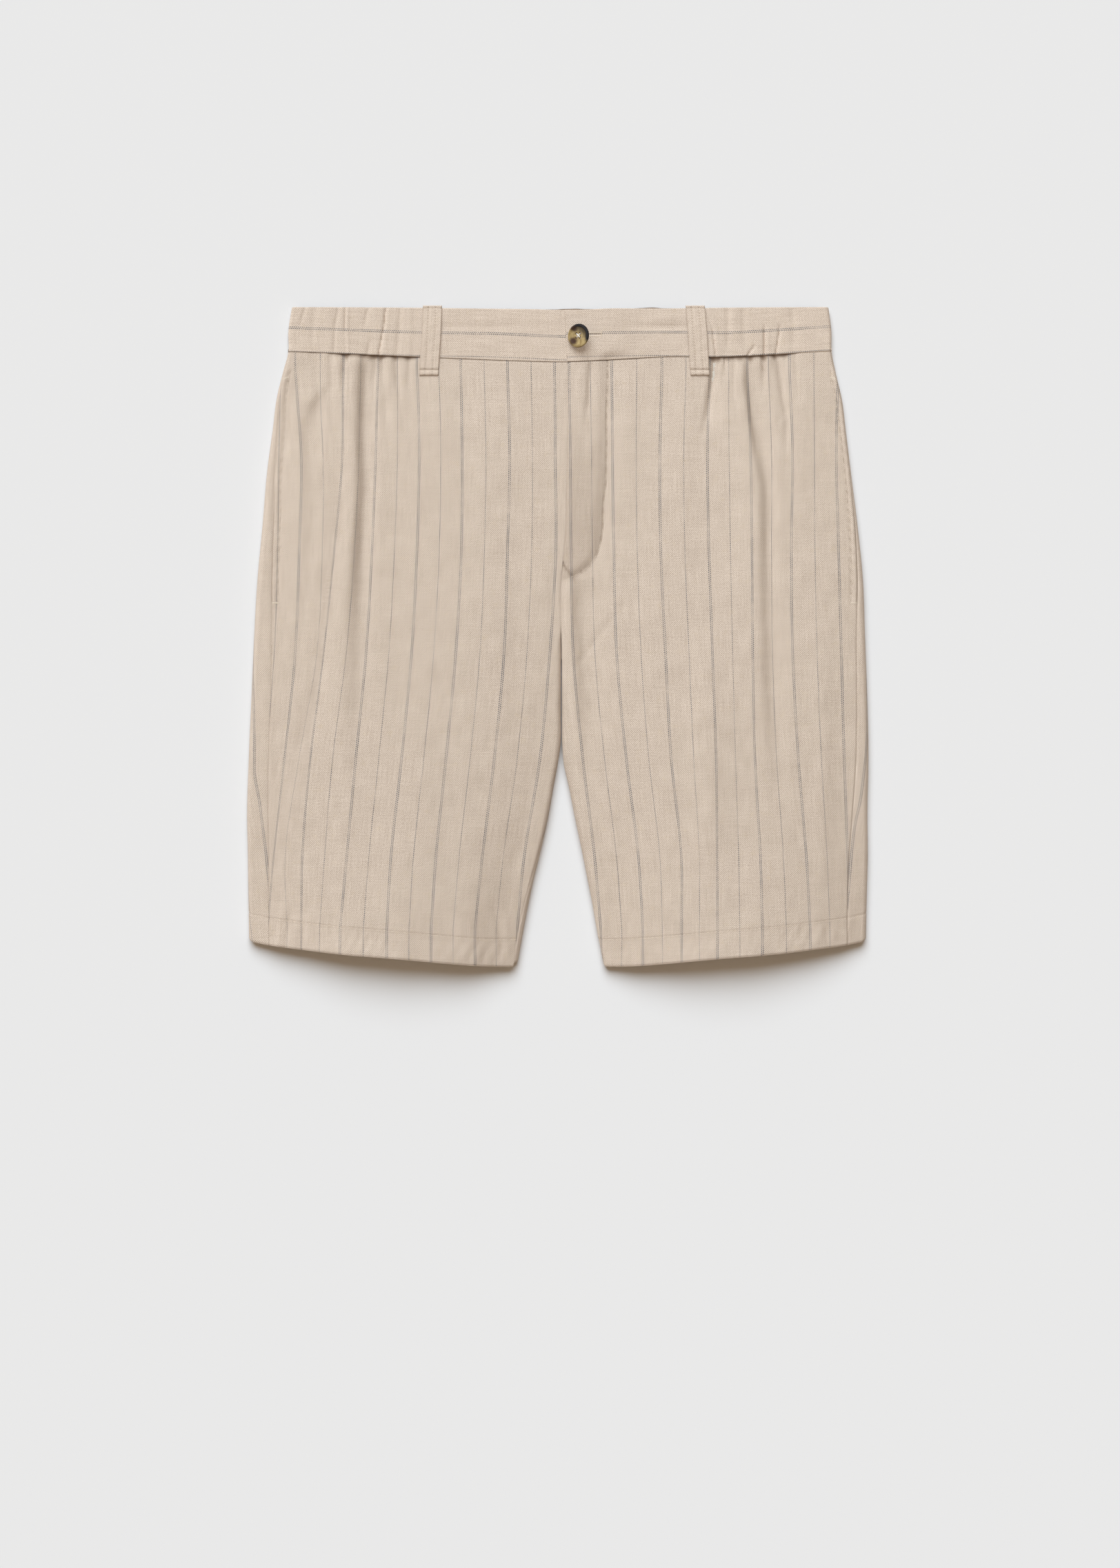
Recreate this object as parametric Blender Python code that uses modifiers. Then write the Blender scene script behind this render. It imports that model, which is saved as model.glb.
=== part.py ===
"""Bermuda shorts, laid flat on their back panels with the front up and the waist button fastened.

Lengths are in millimetres until a mesh is made, where MM turns them into metres.
+X runs to the wearer's left, +Y up to the waist, and +Z away from the surface the shorts lie on.
"Down" is a distance from the top edge of the waistband towards the hems.
"""
import math
from collections import namedtuple
from functools import lru_cache

import bmesh
import bpy
import numpy as np
from mathutils import Matrix

MM = 0.001
RIGHT = -1                  # the wearer's right half lies on the -X side
LEFT = 1

TOP_Y = 258.9               # where down is 0; the hems reach the same distance below the origin
PANEL_WALL = 1.2            # twill with its turned seam allowances
BAND_WALL = 1.8             # waistband, doubled and interfaced
LOOP_WALL = 1.2
POCKET_WALL = 1.0
GAP = 0.3                   # between pieces that lie on each other
SEAM_GAP = 0.4              # between pieces that meet edge to edge
CROTCH_DOWN = 277.0         # where the two inseams and the rise seam meet
LEG_PARTING = 0.25          # half the slit between the two inner folds where the legs touch

LINEN = (0.64, 0.53, 0.43, 1.0)
BAND_LINEN = (0.67, 0.57, 0.47, 1.0)
POCKETING = (0.72, 0.68, 0.6, 1.0)
HORN = (0.28, 0.2, 0.1, 1.0)


class Table:
    """Rows with named columns, read between the rows along a smooth curve."""

    def __init__(self, names, rows):
        values = np.array(rows, dtype=float)
        self.at = values[:, 0]
        self.values = dict(zip(names.split(), values.T))
        self.slopes = {name: np.gradient(column, self.at) for name, column in self.values.items()}

    def read(self, name, at):
        at = min(max(at, self.at[0]), self.at[-1])
        row = min(int(np.searchsorted(self.at, at, side="right")) - 1, len(self.at) - 2)
        span = self.at[row + 1] - self.at[row]
        t = (at - self.at[row]) / span
        low, high = self.values[name][row:row + 2]
        low_slope, high_slope = self.slopes[name][row:row + 2] * span
        rise = high - low
        return low + t * (low_slope + t * (3 * rise - 2 * low_slope - high_slope
                                           + t * (low_slope + high_slope - 2 * rise)))


def smoothstep(low, high, value):
    t = min(max((value - low) / (high - low), 0.0), 1.0)
    return t * t * (3 - 2 * t)


def mix(start, end, t):
    return start + (end - start) * t


# ---------------------------------------------------------------- sizes of the garment

# The side folds, and how far inside each fold the side seam lies on the front.
SIDES = Table("down right_fold right_wrap left_fold left_wrap", [
    (0, -208.4, 0.4, 212.4, 0.4),
    (19, -211.2, 0.4, 214.8, 0.4),
    (35, -211.2, 0.4, 215.0, 0.4),
    (52, -215.7, 0.8, 218.4, 0.4),
    (73, -220.6, 2.2, 223.3, 0.5),
    (95, -223.3, 4.0, 226.0, 0.6),
    (127, -227.6, 6.0, 229.8, 0.8),
    (171, -231.4, 8.5, 235.2, 2.0),
    (214, -235.4, 11.3, 239.5, 4.5),
    (257, -237.9, 13.6, 241.1, 6.8),
    (300, -239.8, 15.0, 242.7, 8.2),
    (354, -242.2, 15.4, 243.8, 9.8),
    (397, -243.5, 16.3, 243.0, 11.8),
    (430, -242.9, 16.3, 243.3, 14.6),
    (462, -242.5, 16.0, 242.5, 15.1),
    (520, -241.5, 15.5, 241.5, 14.6),
])

# The centre front, which is the fly edge down to 201 and the rise seam down to the crotch.
CENTRE = Table("down x", [(0, 5.9), (43, 8.1), (98, 7.7), (136, 6.8), (174, 5.8), (201, 3.9),
                          (212, 3.0), (277, 3.0), (345, 3.0)])

# The inner folds of the legs, which touch down to 340 and then part.
INNER_FOLDS = Table("down right left", [
    (277, 3.0, 3.0),
    (320, 3.0, 3.0),
    (342, 2.8, 3.2),
    (359, 0.4, 4.6),
    (375, -2.6, 8.2),
    (402, -7.4, 13.6),
    (428, -13.4, 19.1),
    (449, -18.6, 23.2),
    (468, -22.6, 27.0),
    (488, -26.4, 30.4),
    (520, -32.0, 37.0),
])

# How far the inseam lies over the inner fold on the front; below zero it lies underneath.
INSEAMS = Table("down right left", [(277, 0, 0), (330, 0, 0), (400, 1.5, -1.5), (440, 3.5, -2),
                                    (470, 5.6, -2), (490, 6.2, -2), (520, 5.2, -2)])

# The seam that joins the waistband to the panels.
WAIST_SEAM = Table("x down", [(-215, 34.4), (-107, 38.9), (-40, 41.6), (6.8, 42.7), (50, 40.6),
                              (90, 38.6), (120, 38.9), (218, 33.9)])

# The hem edge, by the distance inwards from the leg's side fold.
HEM = Table("inside down", [(0, 497.5), (14, 500.2), (42, 503.8), (70, 507.0), (110, 510.2),
                            (130, 512.0), (155, 514.4), (178, 516.4), (195, 517.3), (210, 517.4)])
BACK_HEM_RISE = 3.0         # the back hem lies this much higher than the front hem
PARTING = 0.53              # share of a panel's length above which its solid is the hip and below it the leg
WAIST_LEVEL = 40.0          # levels at which a panel's columns are set out
HEM_LEVEL = 510.0

# Radius of the side fold, and heights of the front's outer face over a leg's middle and its inner end.
HEIGHTS = Table("down fold_radius leg inner", [
    (0, 2.45, 6.4, 6.4),
    (34, 2.45, 6.0, 6.0),
    (70, 3.0, 8.2, 7.6),
    (120, 4.0, 11.0, 9.2),
    (200, 4.5, 13.0, 9.8),
    (277, 4.5, 14.0, 9.0),
    (350, 4.5, 15.5, 9.0),
    (430, 4.5, 18.5, 9.0),
    (480, 4.3, 22.5, 8.8),
    (520, 4.2, 26.0, 8.6),
])

INNER_RADIUS = 4.3
ROLL_LENGTH = 34.0          # stretch above the crotch where the rise seam sinks into the fold
BACK_LIFT = 1.5             # the back loops hold the top of the back this high
LIFT_FADE = (52.0, 95.0)    # the back comes down to the surface between these levels

FLY_UNDERLAP = 10.0         # the right front runs on under the placket
UNDERLAP_FADE = (162.0, 186.0)
UNDERLAP_SINK = 0.2         # and sinks by this much for each millimetre of its first two
PLACKET_RISE = PANEL_WALL + GAP
PLACKET_EASE = 9.0          # the raised placket slopes down over this width past its stitching
# The J-shaped row of stitching that holds the placket, by level.
PLACKET = Table("down width", [(30, 31.5), (118, 29.0), (174, 28.8), (186, 28.5), (201, 25.0),
                               (207, 18.5), (212, 8.0), (216, 0.0)])

# Folds and gathers of the fronts: rows of (down, x) to pass through, half width, height, and the
# levels between which each one comes in and fades out.
Fold = namedtuple("Fold", "name route half_width height fade_in fade_out")
FOLDS = [
    Fold("right gather ridge", [(40, -157.5), (60, -158), (100, -159), (142, -160), (183, -163),
                                (245, -168.5), (300, -176), (360, -186)], 6.0, 2.9, (30, 44), (230, 380)),
    Fold("right gather trough", [(40, -148.5), (142, -147.5), (183, -147.7), (245, -150.5), (300, -155),
                                 (360, -162)], 5.0, -1.3, (34, 80), (250, 360)),
    Fold("right inner ridge", [(40, -141), (142, -139), (245, -146)], 7.0, 0.9, (40, 80), (150, 260)),
    Fold("right soft trough", [(60, -168), (80, -169.3), (183, -175.2), (245, -185.5), (300, -190),
                               (351, -204), (402, -210.5)], 8.0, -1.1, (60, 110), (330, 410)),
    Fold("right side gather", [(34, -191), (60, -188), (120, -186)], 5.0, -1.0, (30, 40), (60, 120)),
    Fold("right loop gather", [(34, -135), (60, -136), (120, -132)], 4.5, -1.1, (30, 40), (60, 120)),
    Fold("left gather ridge", [(40, 144), (60, 144), (92, 146.5), (109, 148), (142, 153), (245, 154),
                               (300, 155.5)], 5.5, 2.4, (30, 60), (230, 320)),
    Fold("left gather trough", [(40, 151.5), (59, 151), (92, 155), (109, 158), (142, 163), (245, 164),
                                (300, 165.2), (330, 168)], 5.0, -1.3, (36, 80), (250, 335)),
    Fold("left side ridge", [(60, 172), (142, 173), (245, 175)], 8.0, 0.9, (40, 90), (180, 280)),
    Fold("left loop gather", [(36, 125), (60, 124), (120, 122)], 4.5, -1.2, (30, 40), (60, 120)),
    Fold("left side gather", [(34, 175), (60, 176), (120, 178)], 5.0, -1.0, (30, 40), (60, 120)),
]

# The elastic draws the back waistband into gathers of this pitch and height.
GATHER_PITCH = 15.0
GATHER_RISE = 0.7
RIGHT_LOOP_X = -99.1
LEFT_LOOP_X = 109.9
BUTTON_END_X = 33.0         # the button end of the waistband runs on under the buttonhole end
OVERLAP_RISE = BAND_WALL + GAP
OVERLAP_EASE = (40.0, 72.0)


def side_name(side):
    return "right" if side == RIGHT else "left"


def side_fold(side, down):
    return SIDES.read(side_name(side) + "_fold", down)


def side_wrap(side, down):
    return SIDES.read(side_name(side) + "_wrap", down)


def inner_edge(side, down):
    """X of the centre seam above the crotch, and of the leg's inner fold below it."""
    if down < CROTCH_DOWN:
        return CENTRE.read("x", down)
    return INNER_FOLDS.read(side_name(side), down) + side * LEG_PARTING


def back_lift(down):
    return BACK_LIFT * (1 - smoothstep(*LIFT_FADE, down))


def fold_height(x, down):
    """Sum of the folds and gathers that pass through a place on the fronts."""
    total = 0.0
    for fold in FOLDS:
        levels, places = zip(*fold.route)
        across = (x - np.interp(down, levels, places)) / fold.half_width
        if abs(across) < 2:
            strength = smoothstep(*fold.fade_in, down) * (1 - smoothstep(*fold.fade_out, down))
            total += fold.height * strength * math.exp(-1.4 * across * across)
    return total


class Section:
    """Outer face of one half of the shorts at one level, as a path in X and Z.

    The path starts at the inner fold (or the centre seam above the crotch), and runs over the front
    to the side fold, round it, and back underneath.
    """

    def __init__(self, side, down):
        self.side = side
        self.down = down
        self.lift = back_lift(down)
        self.side_radius = HEIGHTS.read("fold_radius", down)
        self.side_centre = side_fold(side, down) - side * self.side_radius
        self.inner_height = HEIGHTS.read("inner", down)
        self.roll = smoothstep(CROTCH_DOWN - ROLL_LENGTH, CROTCH_DOWN, down)
        self.start_angle = (1 - self.roll) * math.pi / 2
        self.inner_x = inner_edge(side, down)
        self.inner_centre = self.inner_x + side * INNER_RADIUS * math.cos(self.start_angle)
        self.inner_arc = INNER_RADIUS * self.roll * math.pi / 2
        self.width = side * (self.side_centre - self.inner_centre)
        self.side_arc = self.side_radius * math.pi
        self.front_end = self.inner_arc + self.width
        self.back_start = self.front_end + self.side_arc
        self.length = self.back_start + self.width + self.inner_arc

    def front_height(self, x):
        """Outer face of the front between the folds."""
        t = min(max(self.side * (x - self.inner_centre) / self.width, 0.0), 1.0)
        side_height = self.lift + 2 * self.side_radius
        arch = HEIGHTS.read("leg", self.down) - (self.inner_height + side_height) / 2
        edges = min(1.0, 6 * t, 6 * (1 - t))
        return mix(self.inner_height, side_height, t) + arch * math.sin(math.pi * t) \
            + edges * fold_height(x, self.down)

    def side_seam(self):
        """Distance along the path to the side seam."""
        wrap = side_wrap(self.side, self.down)
        if wrap >= self.side_radius:
            return self.front_end - (wrap - self.side_radius)
        return self.front_end + self.side_radius * (math.pi / 2 - math.acos(1 - wrap / self.side_radius))

    def inseam(self):
        """Distance along the path to the inseam, which lies at 0 down to the crotch."""
        if self.down <= CROTCH_DOWN:
            return 0.0
        return INSEAMS.read(side_name(self.side), self.down)

    def point(self, along):
        """X and Z at a distance along the path."""
        side = self.side
        if self.roll == 1.0:
            along %= self.length
        if along < 0:
            return self.inner_x + side * along, self.inner_height + max(along, -2.0) * UNDERLAP_SINK
        if along < self.inner_arc:
            angle = self.start_angle + along / INNER_RADIUS
            x = self.inner_centre - side * INNER_RADIUS * math.cos(angle)
            return x, self.inner_height - INNER_RADIUS * (1 - math.sin(angle))
        if along < self.front_end:
            x = self.inner_centre + side * (along - self.inner_arc)
            return x, self.front_height(x)
        if along < self.back_start:
            angle = math.pi / 2 - (along - self.front_end) / self.side_radius
            x = self.side_centre + side * self.side_radius * math.cos(angle)
            return x, self.lift + self.side_radius * (1 + math.sin(angle))
        if along < self.back_start + self.width:
            return self.side_centre - side * (along - self.back_start), self.lift
        angle = math.pi / 2 - (along - self.back_start - self.width) / INNER_RADIUS
        x = self.inner_centre - side * INNER_RADIUS * math.cos(angle)
        return x, self.lift + INNER_RADIUS * (1 - math.sin(angle))


def placket_rise(x, down):
    """How far the left front stands up over the fly's extra layers."""
    width = PLACKET.read("width", down) if down < 216 else 0.0
    past = (x - CENTRE.read("x", down)) - width
    return PLACKET_RISE * (1 - smoothstep(0, PLACKET_EASE, past)) * (1 - smoothstep(206, 222, down))


# ---------------------------------------------------------------- making meshes

def start_scene():
    for old in list(bpy.data.objects):
        bpy.data.objects.remove(old, do_unlink=True)


def new_collection(name):
    collection = bpy.data.collections.new(name)
    bpy.context.scene.collection.children.link(collection)
    return collection


def make_material(name, colour, roughness):
    material = bpy.data.materials.new(name)
    material.use_nodes = True
    surface = material.node_tree.nodes["Principled BSDF"]
    surface.inputs["Base Color"].default_value = colour
    surface.inputs["Roughness"].default_value = roughness
    surface.inputs["Metallic"].default_value = 0.0
    return material


def add_object(name, mesh, material, collection):
    mesh.materials.append(material)
    piece = bpy.data.objects.new(name, mesh)
    collection.objects.link(piece)
    return piece


def stations(count, dense_at=(), strength=1.5, reach=0.06):
    """Fractions from 0 to 1, closer together round each place in dense_at."""
    fine = np.linspace(0, 1, 801)
    weight = np.ones_like(fine)
    for place in dense_at:
        weight += strength * np.exp(-((fine - place) / reach) ** 2)
    total = np.concatenate([[0], np.cumsum((weight[1:] + weight[:-1]) / 2)])
    return list(np.interp(np.linspace(0, total[-1], count + 1), total, fine))


def make_wall(name, columns, rows, place, wall, material, collection):
    """A closed wall of cloth between its outer face and an inner one.

    place(column, row) gives X, down and Z on the outer face and its normal in X and Z. Pieces that
    meet at a seam share that normal there, so their rims stay parallel.
    """
    builder = bmesh.new()
    across, along = len(columns) - 1, len(rows) - 1
    bmesh.ops.create_grid(builder, x_segments=across, y_segments=along, size=1.0)
    extruded = bmesh.ops.extrude_face_region(builder, geom=builder.faces[:])["geom"]
    outer = {part for part in extruded if isinstance(part, bmesh.types.BMVert)}
    for vertex in builder.verts:
        column = columns[round((vertex.co.x + 1) / 2 * across)]
        row = rows[round((vertex.co.y + 1) / 2 * along)]
        x, down, z, normal = place(column, row)
        depth = 0.0 if vertex in outer else wall
        vertex.co = ((x - depth * normal[0]) * MM, (TOP_Y - down) * MM, (z - depth * normal[1]) * MM)
    bmesh.ops.recalc_face_normals(builder, faces=builder.faces)
    if builder.calc_volume(signed=True) < 0:
        bmesh.ops.reverse_faces(builder, faces=builder.faces)
    mesh = bpy.data.meshes.new(name)
    builder.to_mesh(mesh)
    builder.free()
    mesh.shade_smooth()
    mesh.set_sharp_from_angle(angle=math.radians(50))
    return add_object(name, mesh, material, collection)


def path_normal(point, along, step=0.2):
    """Unit normal in X and Z of a path that runs anticlockwise about +Y seen from the hem."""
    x_before, z_before = point(along - step)
    x_after, z_after = point(along + step)
    length = math.hypot(x_after - x_before, z_after - z_before)
    return (z_after - z_before) / length, (x_before - x_after) / length


UP = (0.0, 1.0)


# ---------------------------------------------------------------- the pieces

def waist_down(x):
    return WAIST_SEAM.read("down", x) + SEAM_GAP


def hem_down(side, x):
    return HEM.read("down", side * (side_fold(side, HEM_LEVEL) - x))


def panel_rows():
    """Rows of a panel's hip and leg solids, closer together at the waist, crotch and hem.

    A front and its back share them, and so their seams. Between hip and leg runs a slit.
    """
    rows = stations(24, dense_at=(0.0, 0.47, 1.0), strength=1.3, reach=0.06)
    parting = min(range(len(rows)), key=lambda i: abs(rows[i] - PARTING))
    half_slit = GAP / 2 / (HEM_LEVEL - WAIST_LEVEL)
    return {"hip": rows[:parting] + [rows[parting] - half_slit],
            "leg": [rows[parting] + half_slit] + rows[parting + 1:]}


def panel_place(side, along, hem_rise=0.0):
    """Where a panel's column and row lie, when along(section, column) is its place round a section.

    The hem rises by hem_rise underneath, and not on the front.
    """
    @lru_cache(maxsize=None)
    def ends(column):
        waist, hem = Section(side, WAIST_LEVEL), Section(side, HEM_LEVEL)
        waist_x, _ = waist.point(along(waist, column))
        hem_x, _ = hem.point(along(hem, column))
        return waist_down(waist_x), hem_down(side, hem_x)

    def place(column, row):
        section = Section(side, mix(*ends(column), row))
        underneath = smoothstep(section.front_end, section.back_start, along(section, column))
        section = Section(side, section.down - hem_rise * underneath * smoothstep(0.9, 1.0, row))
        distance = along(section, column)
        x, z = section.point(distance)
        normal_x, normal_z = path_normal(section.point, distance)
        return x, section.down, z, (side * -normal_x, side * -normal_z)

    return place


def make_front(side, material, collection):
    """One front, in a hip and a leg solid, from the centre front and the inseam to the side seam."""
    def along(section, column):
        start = section.inseam() + SEAM_GAP / 2
        if side == RIGHT:
            start -= (FLY_UNDERLAP + SEAM_GAP) * (1 - smoothstep(*UNDERLAP_FADE, section.down))
        return mix(start, section.side_seam() - SEAM_GAP / 2, column)

    lie = panel_place(side, along)

    def place(column, row):
        x, down, z, normal = lie(column, row)
        return x, down, z + (placket_rise(x, down) if side == LEFT else 0.0), normal

    columns = stations(25, dense_at=(0.0, 0.72), strength=1.6)
    for part, rows in panel_rows().items():
        make_wall(f"front_{side_name(side)}_{part}", columns, rows, place, PANEL_WALL,
                  material, collection)


def make_back(side, material, collection):
    """One back, in a hip and a leg solid, from the side seam round underneath to the centre back."""
    steps = np.cumsum([0, 2, 6, 7, 4])      # columns on the front, round the fold, underneath, inner fold

    def along(section, column):
        start = section.side_seam() + SEAM_GAP / 2
        end = section.length + section.inseam() - SEAM_GAP / 2
        fold_start = max(section.front_end, mix(start, section.back_start, 0.1))
        inner_start = end - max(section.inner_arc + section.inseam(), 3.0)
        return float(np.interp(column, steps, [start, fold_start, section.back_start, inner_start, end]))

    for part, rows in panel_rows().items():
        make_wall(f"back_{side_name(side)}_{part}", range(steps[-1] + 1), rows,
                  panel_place(side, along, BACK_HEM_RISE), PANEL_WALL, material, collection)


def band_face(x):
    """Outer face of the front waistband; the buttonhole end lies over the button end."""
    return HEIGHTS.read("inner", 0) + OVERLAP_RISE * (1 - smoothstep(*OVERLAP_EASE, x))


def make_front_band(side, material, collection):
    """The flat stretch of waistband between a front loop and the fastening."""
    if side == RIGHT:
        start, end = RIGHT_LOOP_X + SEAM_GAP / 2, BUTTON_END_X
    else:
        start, end = CENTRE.read("x", 0), LEFT_LOOP_X - SEAM_GAP / 2

    def place(column, row):
        x = mix(start, end, column)
        height = HEIGHTS.read("inner", 0) if side == RIGHT else band_face(x)
        return x, row * WAIST_SEAM.read("down", x), height, UP

    return make_wall("waistband_front_" + side_name(side), stations(14), stations(3), place,
                     BAND_WALL, material, collection)


def band_path(along):
    """X and Z round the flattened waist, from the right loop over the sides and back to the left."""
    right, left = Section(RIGHT, 0), Section(LEFT, 0)
    height = HEIGHTS.read("inner", 0)
    front = RIGHT_LOOP_X - SEAM_GAP / 2 - right.side_centre
    base = left.side_centre - right.side_centre
    if along < front:
        return RIGHT_LOOP_X - SEAM_GAP / 2 - along, height
    along -= front
    if along < right.side_arc:
        angle = math.pi / 2 - along / right.side_radius
        x = right.side_centre - right.side_radius * math.cos(angle)
        return x, BACK_LIFT + right.side_radius * (1 + math.sin(angle))
    along -= right.side_arc
    if along < base:
        return right.side_centre + along, BACK_LIFT
    along -= base
    if along < left.side_arc:
        angle = along / left.side_radius - math.pi / 2
        x = left.side_centre + left.side_radius * math.cos(angle)
        return x, BACK_LIFT + left.side_radius * (1 + math.sin(angle))
    along -= left.side_arc
    return left.side_centre - along, height


def make_back_band(material, collection):
    """The elasticated stretch, drawn into gathers, from loop to loop behind the wearer."""
    right, left = Section(RIGHT, 0), Section(LEFT, 0)
    front = RIGHT_LOOP_X - SEAM_GAP / 2 - right.side_centre
    base = left.side_centre - right.side_centre
    end = left.side_centre - LEFT_LOOP_X - SEAM_GAP / 2
    marks = np.cumsum([0, front, right.side_arc, base, left.side_arc, end])
    per_gather = 4
    counts = [round(front / GATHER_PITCH) * per_gather, 6, round(base / GATHER_PITCH) * per_gather, 6,
              round(end / GATHER_PITCH) * per_gather]
    steps = np.cumsum([0] + counts)

    def gather(column, along):
        """Height of the gathers, none round the side folds and under the loops."""
        stretch = min(int(np.searchsorted(steps, column, side="right")) - 1, len(counts) - 1)
        if stretch % 2:
            return 0.0
        clear = smoothstep(8, 22, min(along, marks[-1] - along))
        return GATHER_RISE * clear * (1 - math.cos(2 * math.pi * (column - steps[stretch]) / per_gather)) / 2

    def place(column, row):
        along = float(np.interp(column, steps, marks))
        x, z = band_path(along)
        normal = path_normal(band_path, along)
        down = row * WAIST_SEAM.read("down", x)
        side = RIGHT if x < 0 else LEFT
        x += (side_fold(side, down) - side_fold(side, 0)) * smoothstep(150, 205, abs(x))
        return x, down, z + gather(column, along), normal

    return make_wall("waistband_back", range(steps[-1] + 1), stations(1), place, BAND_WALL,
                     material, collection)


def front_face(x, down):
    """Outer face of whatever lies at a place on the front: waistband or panel."""
    if down < WAIST_SEAM.read("down", x):
        return band_face(x) if x > CENTRE.read("x", 0) else HEIGHTS.read("inner", 0)
    side = LEFT if x > CENTRE.read("x", down) else RIGHT
    return Section(side, down).front_height(x)


def make_front_loop(side, top_x, foot_x, material, collection):
    """A belt loop: a strip sewn down at the waist edge and below the seam, with room for a belt."""
    width, length, belt_room = 15.0, 54.0, 1.2

    def place(column, row):
        down = row * length
        x = mix(top_x, foot_x, row) + (column - 0.5) * width
        seam = WAIST_SEAM.read("down", x)
        face = mix(front_face(x, min(down, seam - 1)), max(front_face(x, max(down, seam + 1)), 6.4),
                   smoothstep(seam - 6, seam + 6, down))
        bow = belt_room * math.sin(math.pi * row)
        return x, down, face + GAP + LOOP_WALL + bow, UP

    return make_wall("belt_loop_front_" + side_name(side), stations(3), stations(12), place,
                     LOOP_WALL, material, collection)


def make_back_loop(name, x, material, collection):
    """A belt loop under the back, pressed flat between the waistband and the surface."""
    width, length = 15.0, 50.0
    bpy.ops.mesh.primitive_cube_add(size=1.0)
    loop = bpy.context.object
    loop.name = loop.data.name = name
    middle = Matrix.Translation((x * MM, (TOP_Y - length / 2) * MM, LOOP_WALL / 2 * MM))
    loop.data.transform(middle @ Matrix.Diagonal((width * MM, length * MM, LOOP_WALL * MM, 1)))
    loop.data.materials.append(material)
    for held_in in list(loop.users_collection):
        held_in.objects.unlink(loop)
    collection.objects.link(loop)
    return loop


def make_pocket(side, material, collection):
    """A side-seam pocket bag, pressed flat on the inside of the back."""
    # Level, and how far the bag runs inwards from the side fold there.
    outline = Table("down outer inner", [(44, 10, 128), (100, 8, 134), (200, 8, 138), (240, 12, 136),
                                         (275, 26, 124), (292, 46, 104)])

    def place(column, row):
        down = mix(outline.at[0], outline.at[-1], row)
        inwards = mix(outline.read("outer", down), outline.read("inner", down), column)
        z = back_lift(down) + PANEL_WALL + GAP + POCKET_WALL
        return side_fold(side, down) - side * inwards, down, z, UP

    return make_wall("pocket_" + side_name(side), stations(4), stations(12), place, POCKET_WALL,
                     material, collection)


# The waist button lies tilted in its buttonhole, with the edge nearer the buttonhole's end up.
BUTTON_RADIUS = 9.3
BUTTON_THICKNESS = 2.6
BUTTON_X = 17.0
BUTTON_DOWN = 23.6
BUTTON_TILT = math.radians(28)
BUTTON_HOLE_RADIUS = 1.0
BUTTON_HOLE_SPREAD = 1.6
# Half section from the middle of the face, over the raised rim, to the middle of the back.
BUTTON_PROFILE = [(0.0, 1.7), (5.2, 1.7), (6.9, 2.1), (7.7, 2.6), (8.8, 2.4), (9.3, 1.5), (8.9, 0.6),
                  (7.6, 0.1), (0.0, 0.0)]


def make_button(material, collection, cutters):
    mesh = bpy.data.meshes.new("button")
    points = [(radius * MM, 0.0, height * MM) for radius, height in BUTTON_PROFILE]
    edges = [(i, i + 1) for i in range(len(points) - 1)]
    mesh.from_pydata(points, edges, [])
    button = add_object("button", mesh, material, collection)
    turn = button.modifiers.new("turn", "SCREW")
    turn.steps = 32
    turn.render_steps = 32
    turn.use_merge_vertices = True
    turn.merge_threshold = 0.00002
    turn.use_smooth_shade = True
    rise = BUTTON_RADIUS * math.sin(BUTTON_TILT)
    button.location = (BUTTON_X * MM, (TOP_Y - BUTTON_DOWN) * MM, (band_face(0) + GAP + rise) * MM)
    button.rotation_euler = (0.0, -BUTTON_TILT, 0.0)
    for across in (-1, 1):
        for up in (-1, 1):
            bpy.ops.mesh.primitive_cylinder_add(vertices=10, radius=BUTTON_HOLE_RADIUS * MM,
                                                depth=4 * BUTTON_THICKNESS * MM)
            drill = bpy.context.object
            drill.name = "button_drill"
            drill.data.transform(Matrix.Translation((across * BUTTON_HOLE_SPREAD * MM,
                                                     up * BUTTON_HOLE_SPREAD * MM, 0)))
            drill.parent = button
            drill.hide_render = True
            drill.display_type = "WIRE"
            for held_in in list(drill.users_collection):
                held_in.objects.unlink(drill)
            cutters.objects.link(drill)
            cut = button.modifiers.new("hole", "BOOLEAN")
            cut.operation = "DIFFERENCE"
            cut.object = drill
    return button


def build():
    start_scene()
    shorts = new_collection("bermuda_shorts")
    cutters = new_collection("cutters")
    linen = make_material("striped_linen", LINEN, 0.85)
    band_linen = make_material("band_linen", BAND_LINEN, 0.85)
    loop_linen = make_material("loop_linen", BAND_LINEN, 0.85)
    pocketing = make_material("pocketing", POCKETING, 0.9)
    horn = make_material("horn", HORN, 0.3)

    for side in (RIGHT, LEFT):
        make_front(side, linen, shorts)
        make_back(side, linen, shorts)
        make_front_band(side, band_linen, shorts)
        make_pocket(side, pocketing, shorts)
    make_back_band(band_linen, shorts)
    make_front_loop(RIGHT, -98.0, -100.6, loop_linen, shorts)
    make_front_loop(LEFT, 107.8, 112.0, loop_linen, shorts)
    for name, x in (("right", -105.0), ("centre", 5.0), ("left", 115.0)):
        make_back_loop("belt_loop_back_" + name, x, loop_linen, shorts)
    make_button(horn, shorts, cutters)


build()
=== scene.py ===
import math
from collections import namedtuple

import bpy
import numpy as np
from mathutils import Matrix, Vector
from mathutils.bvhtree import BVHTree


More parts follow.
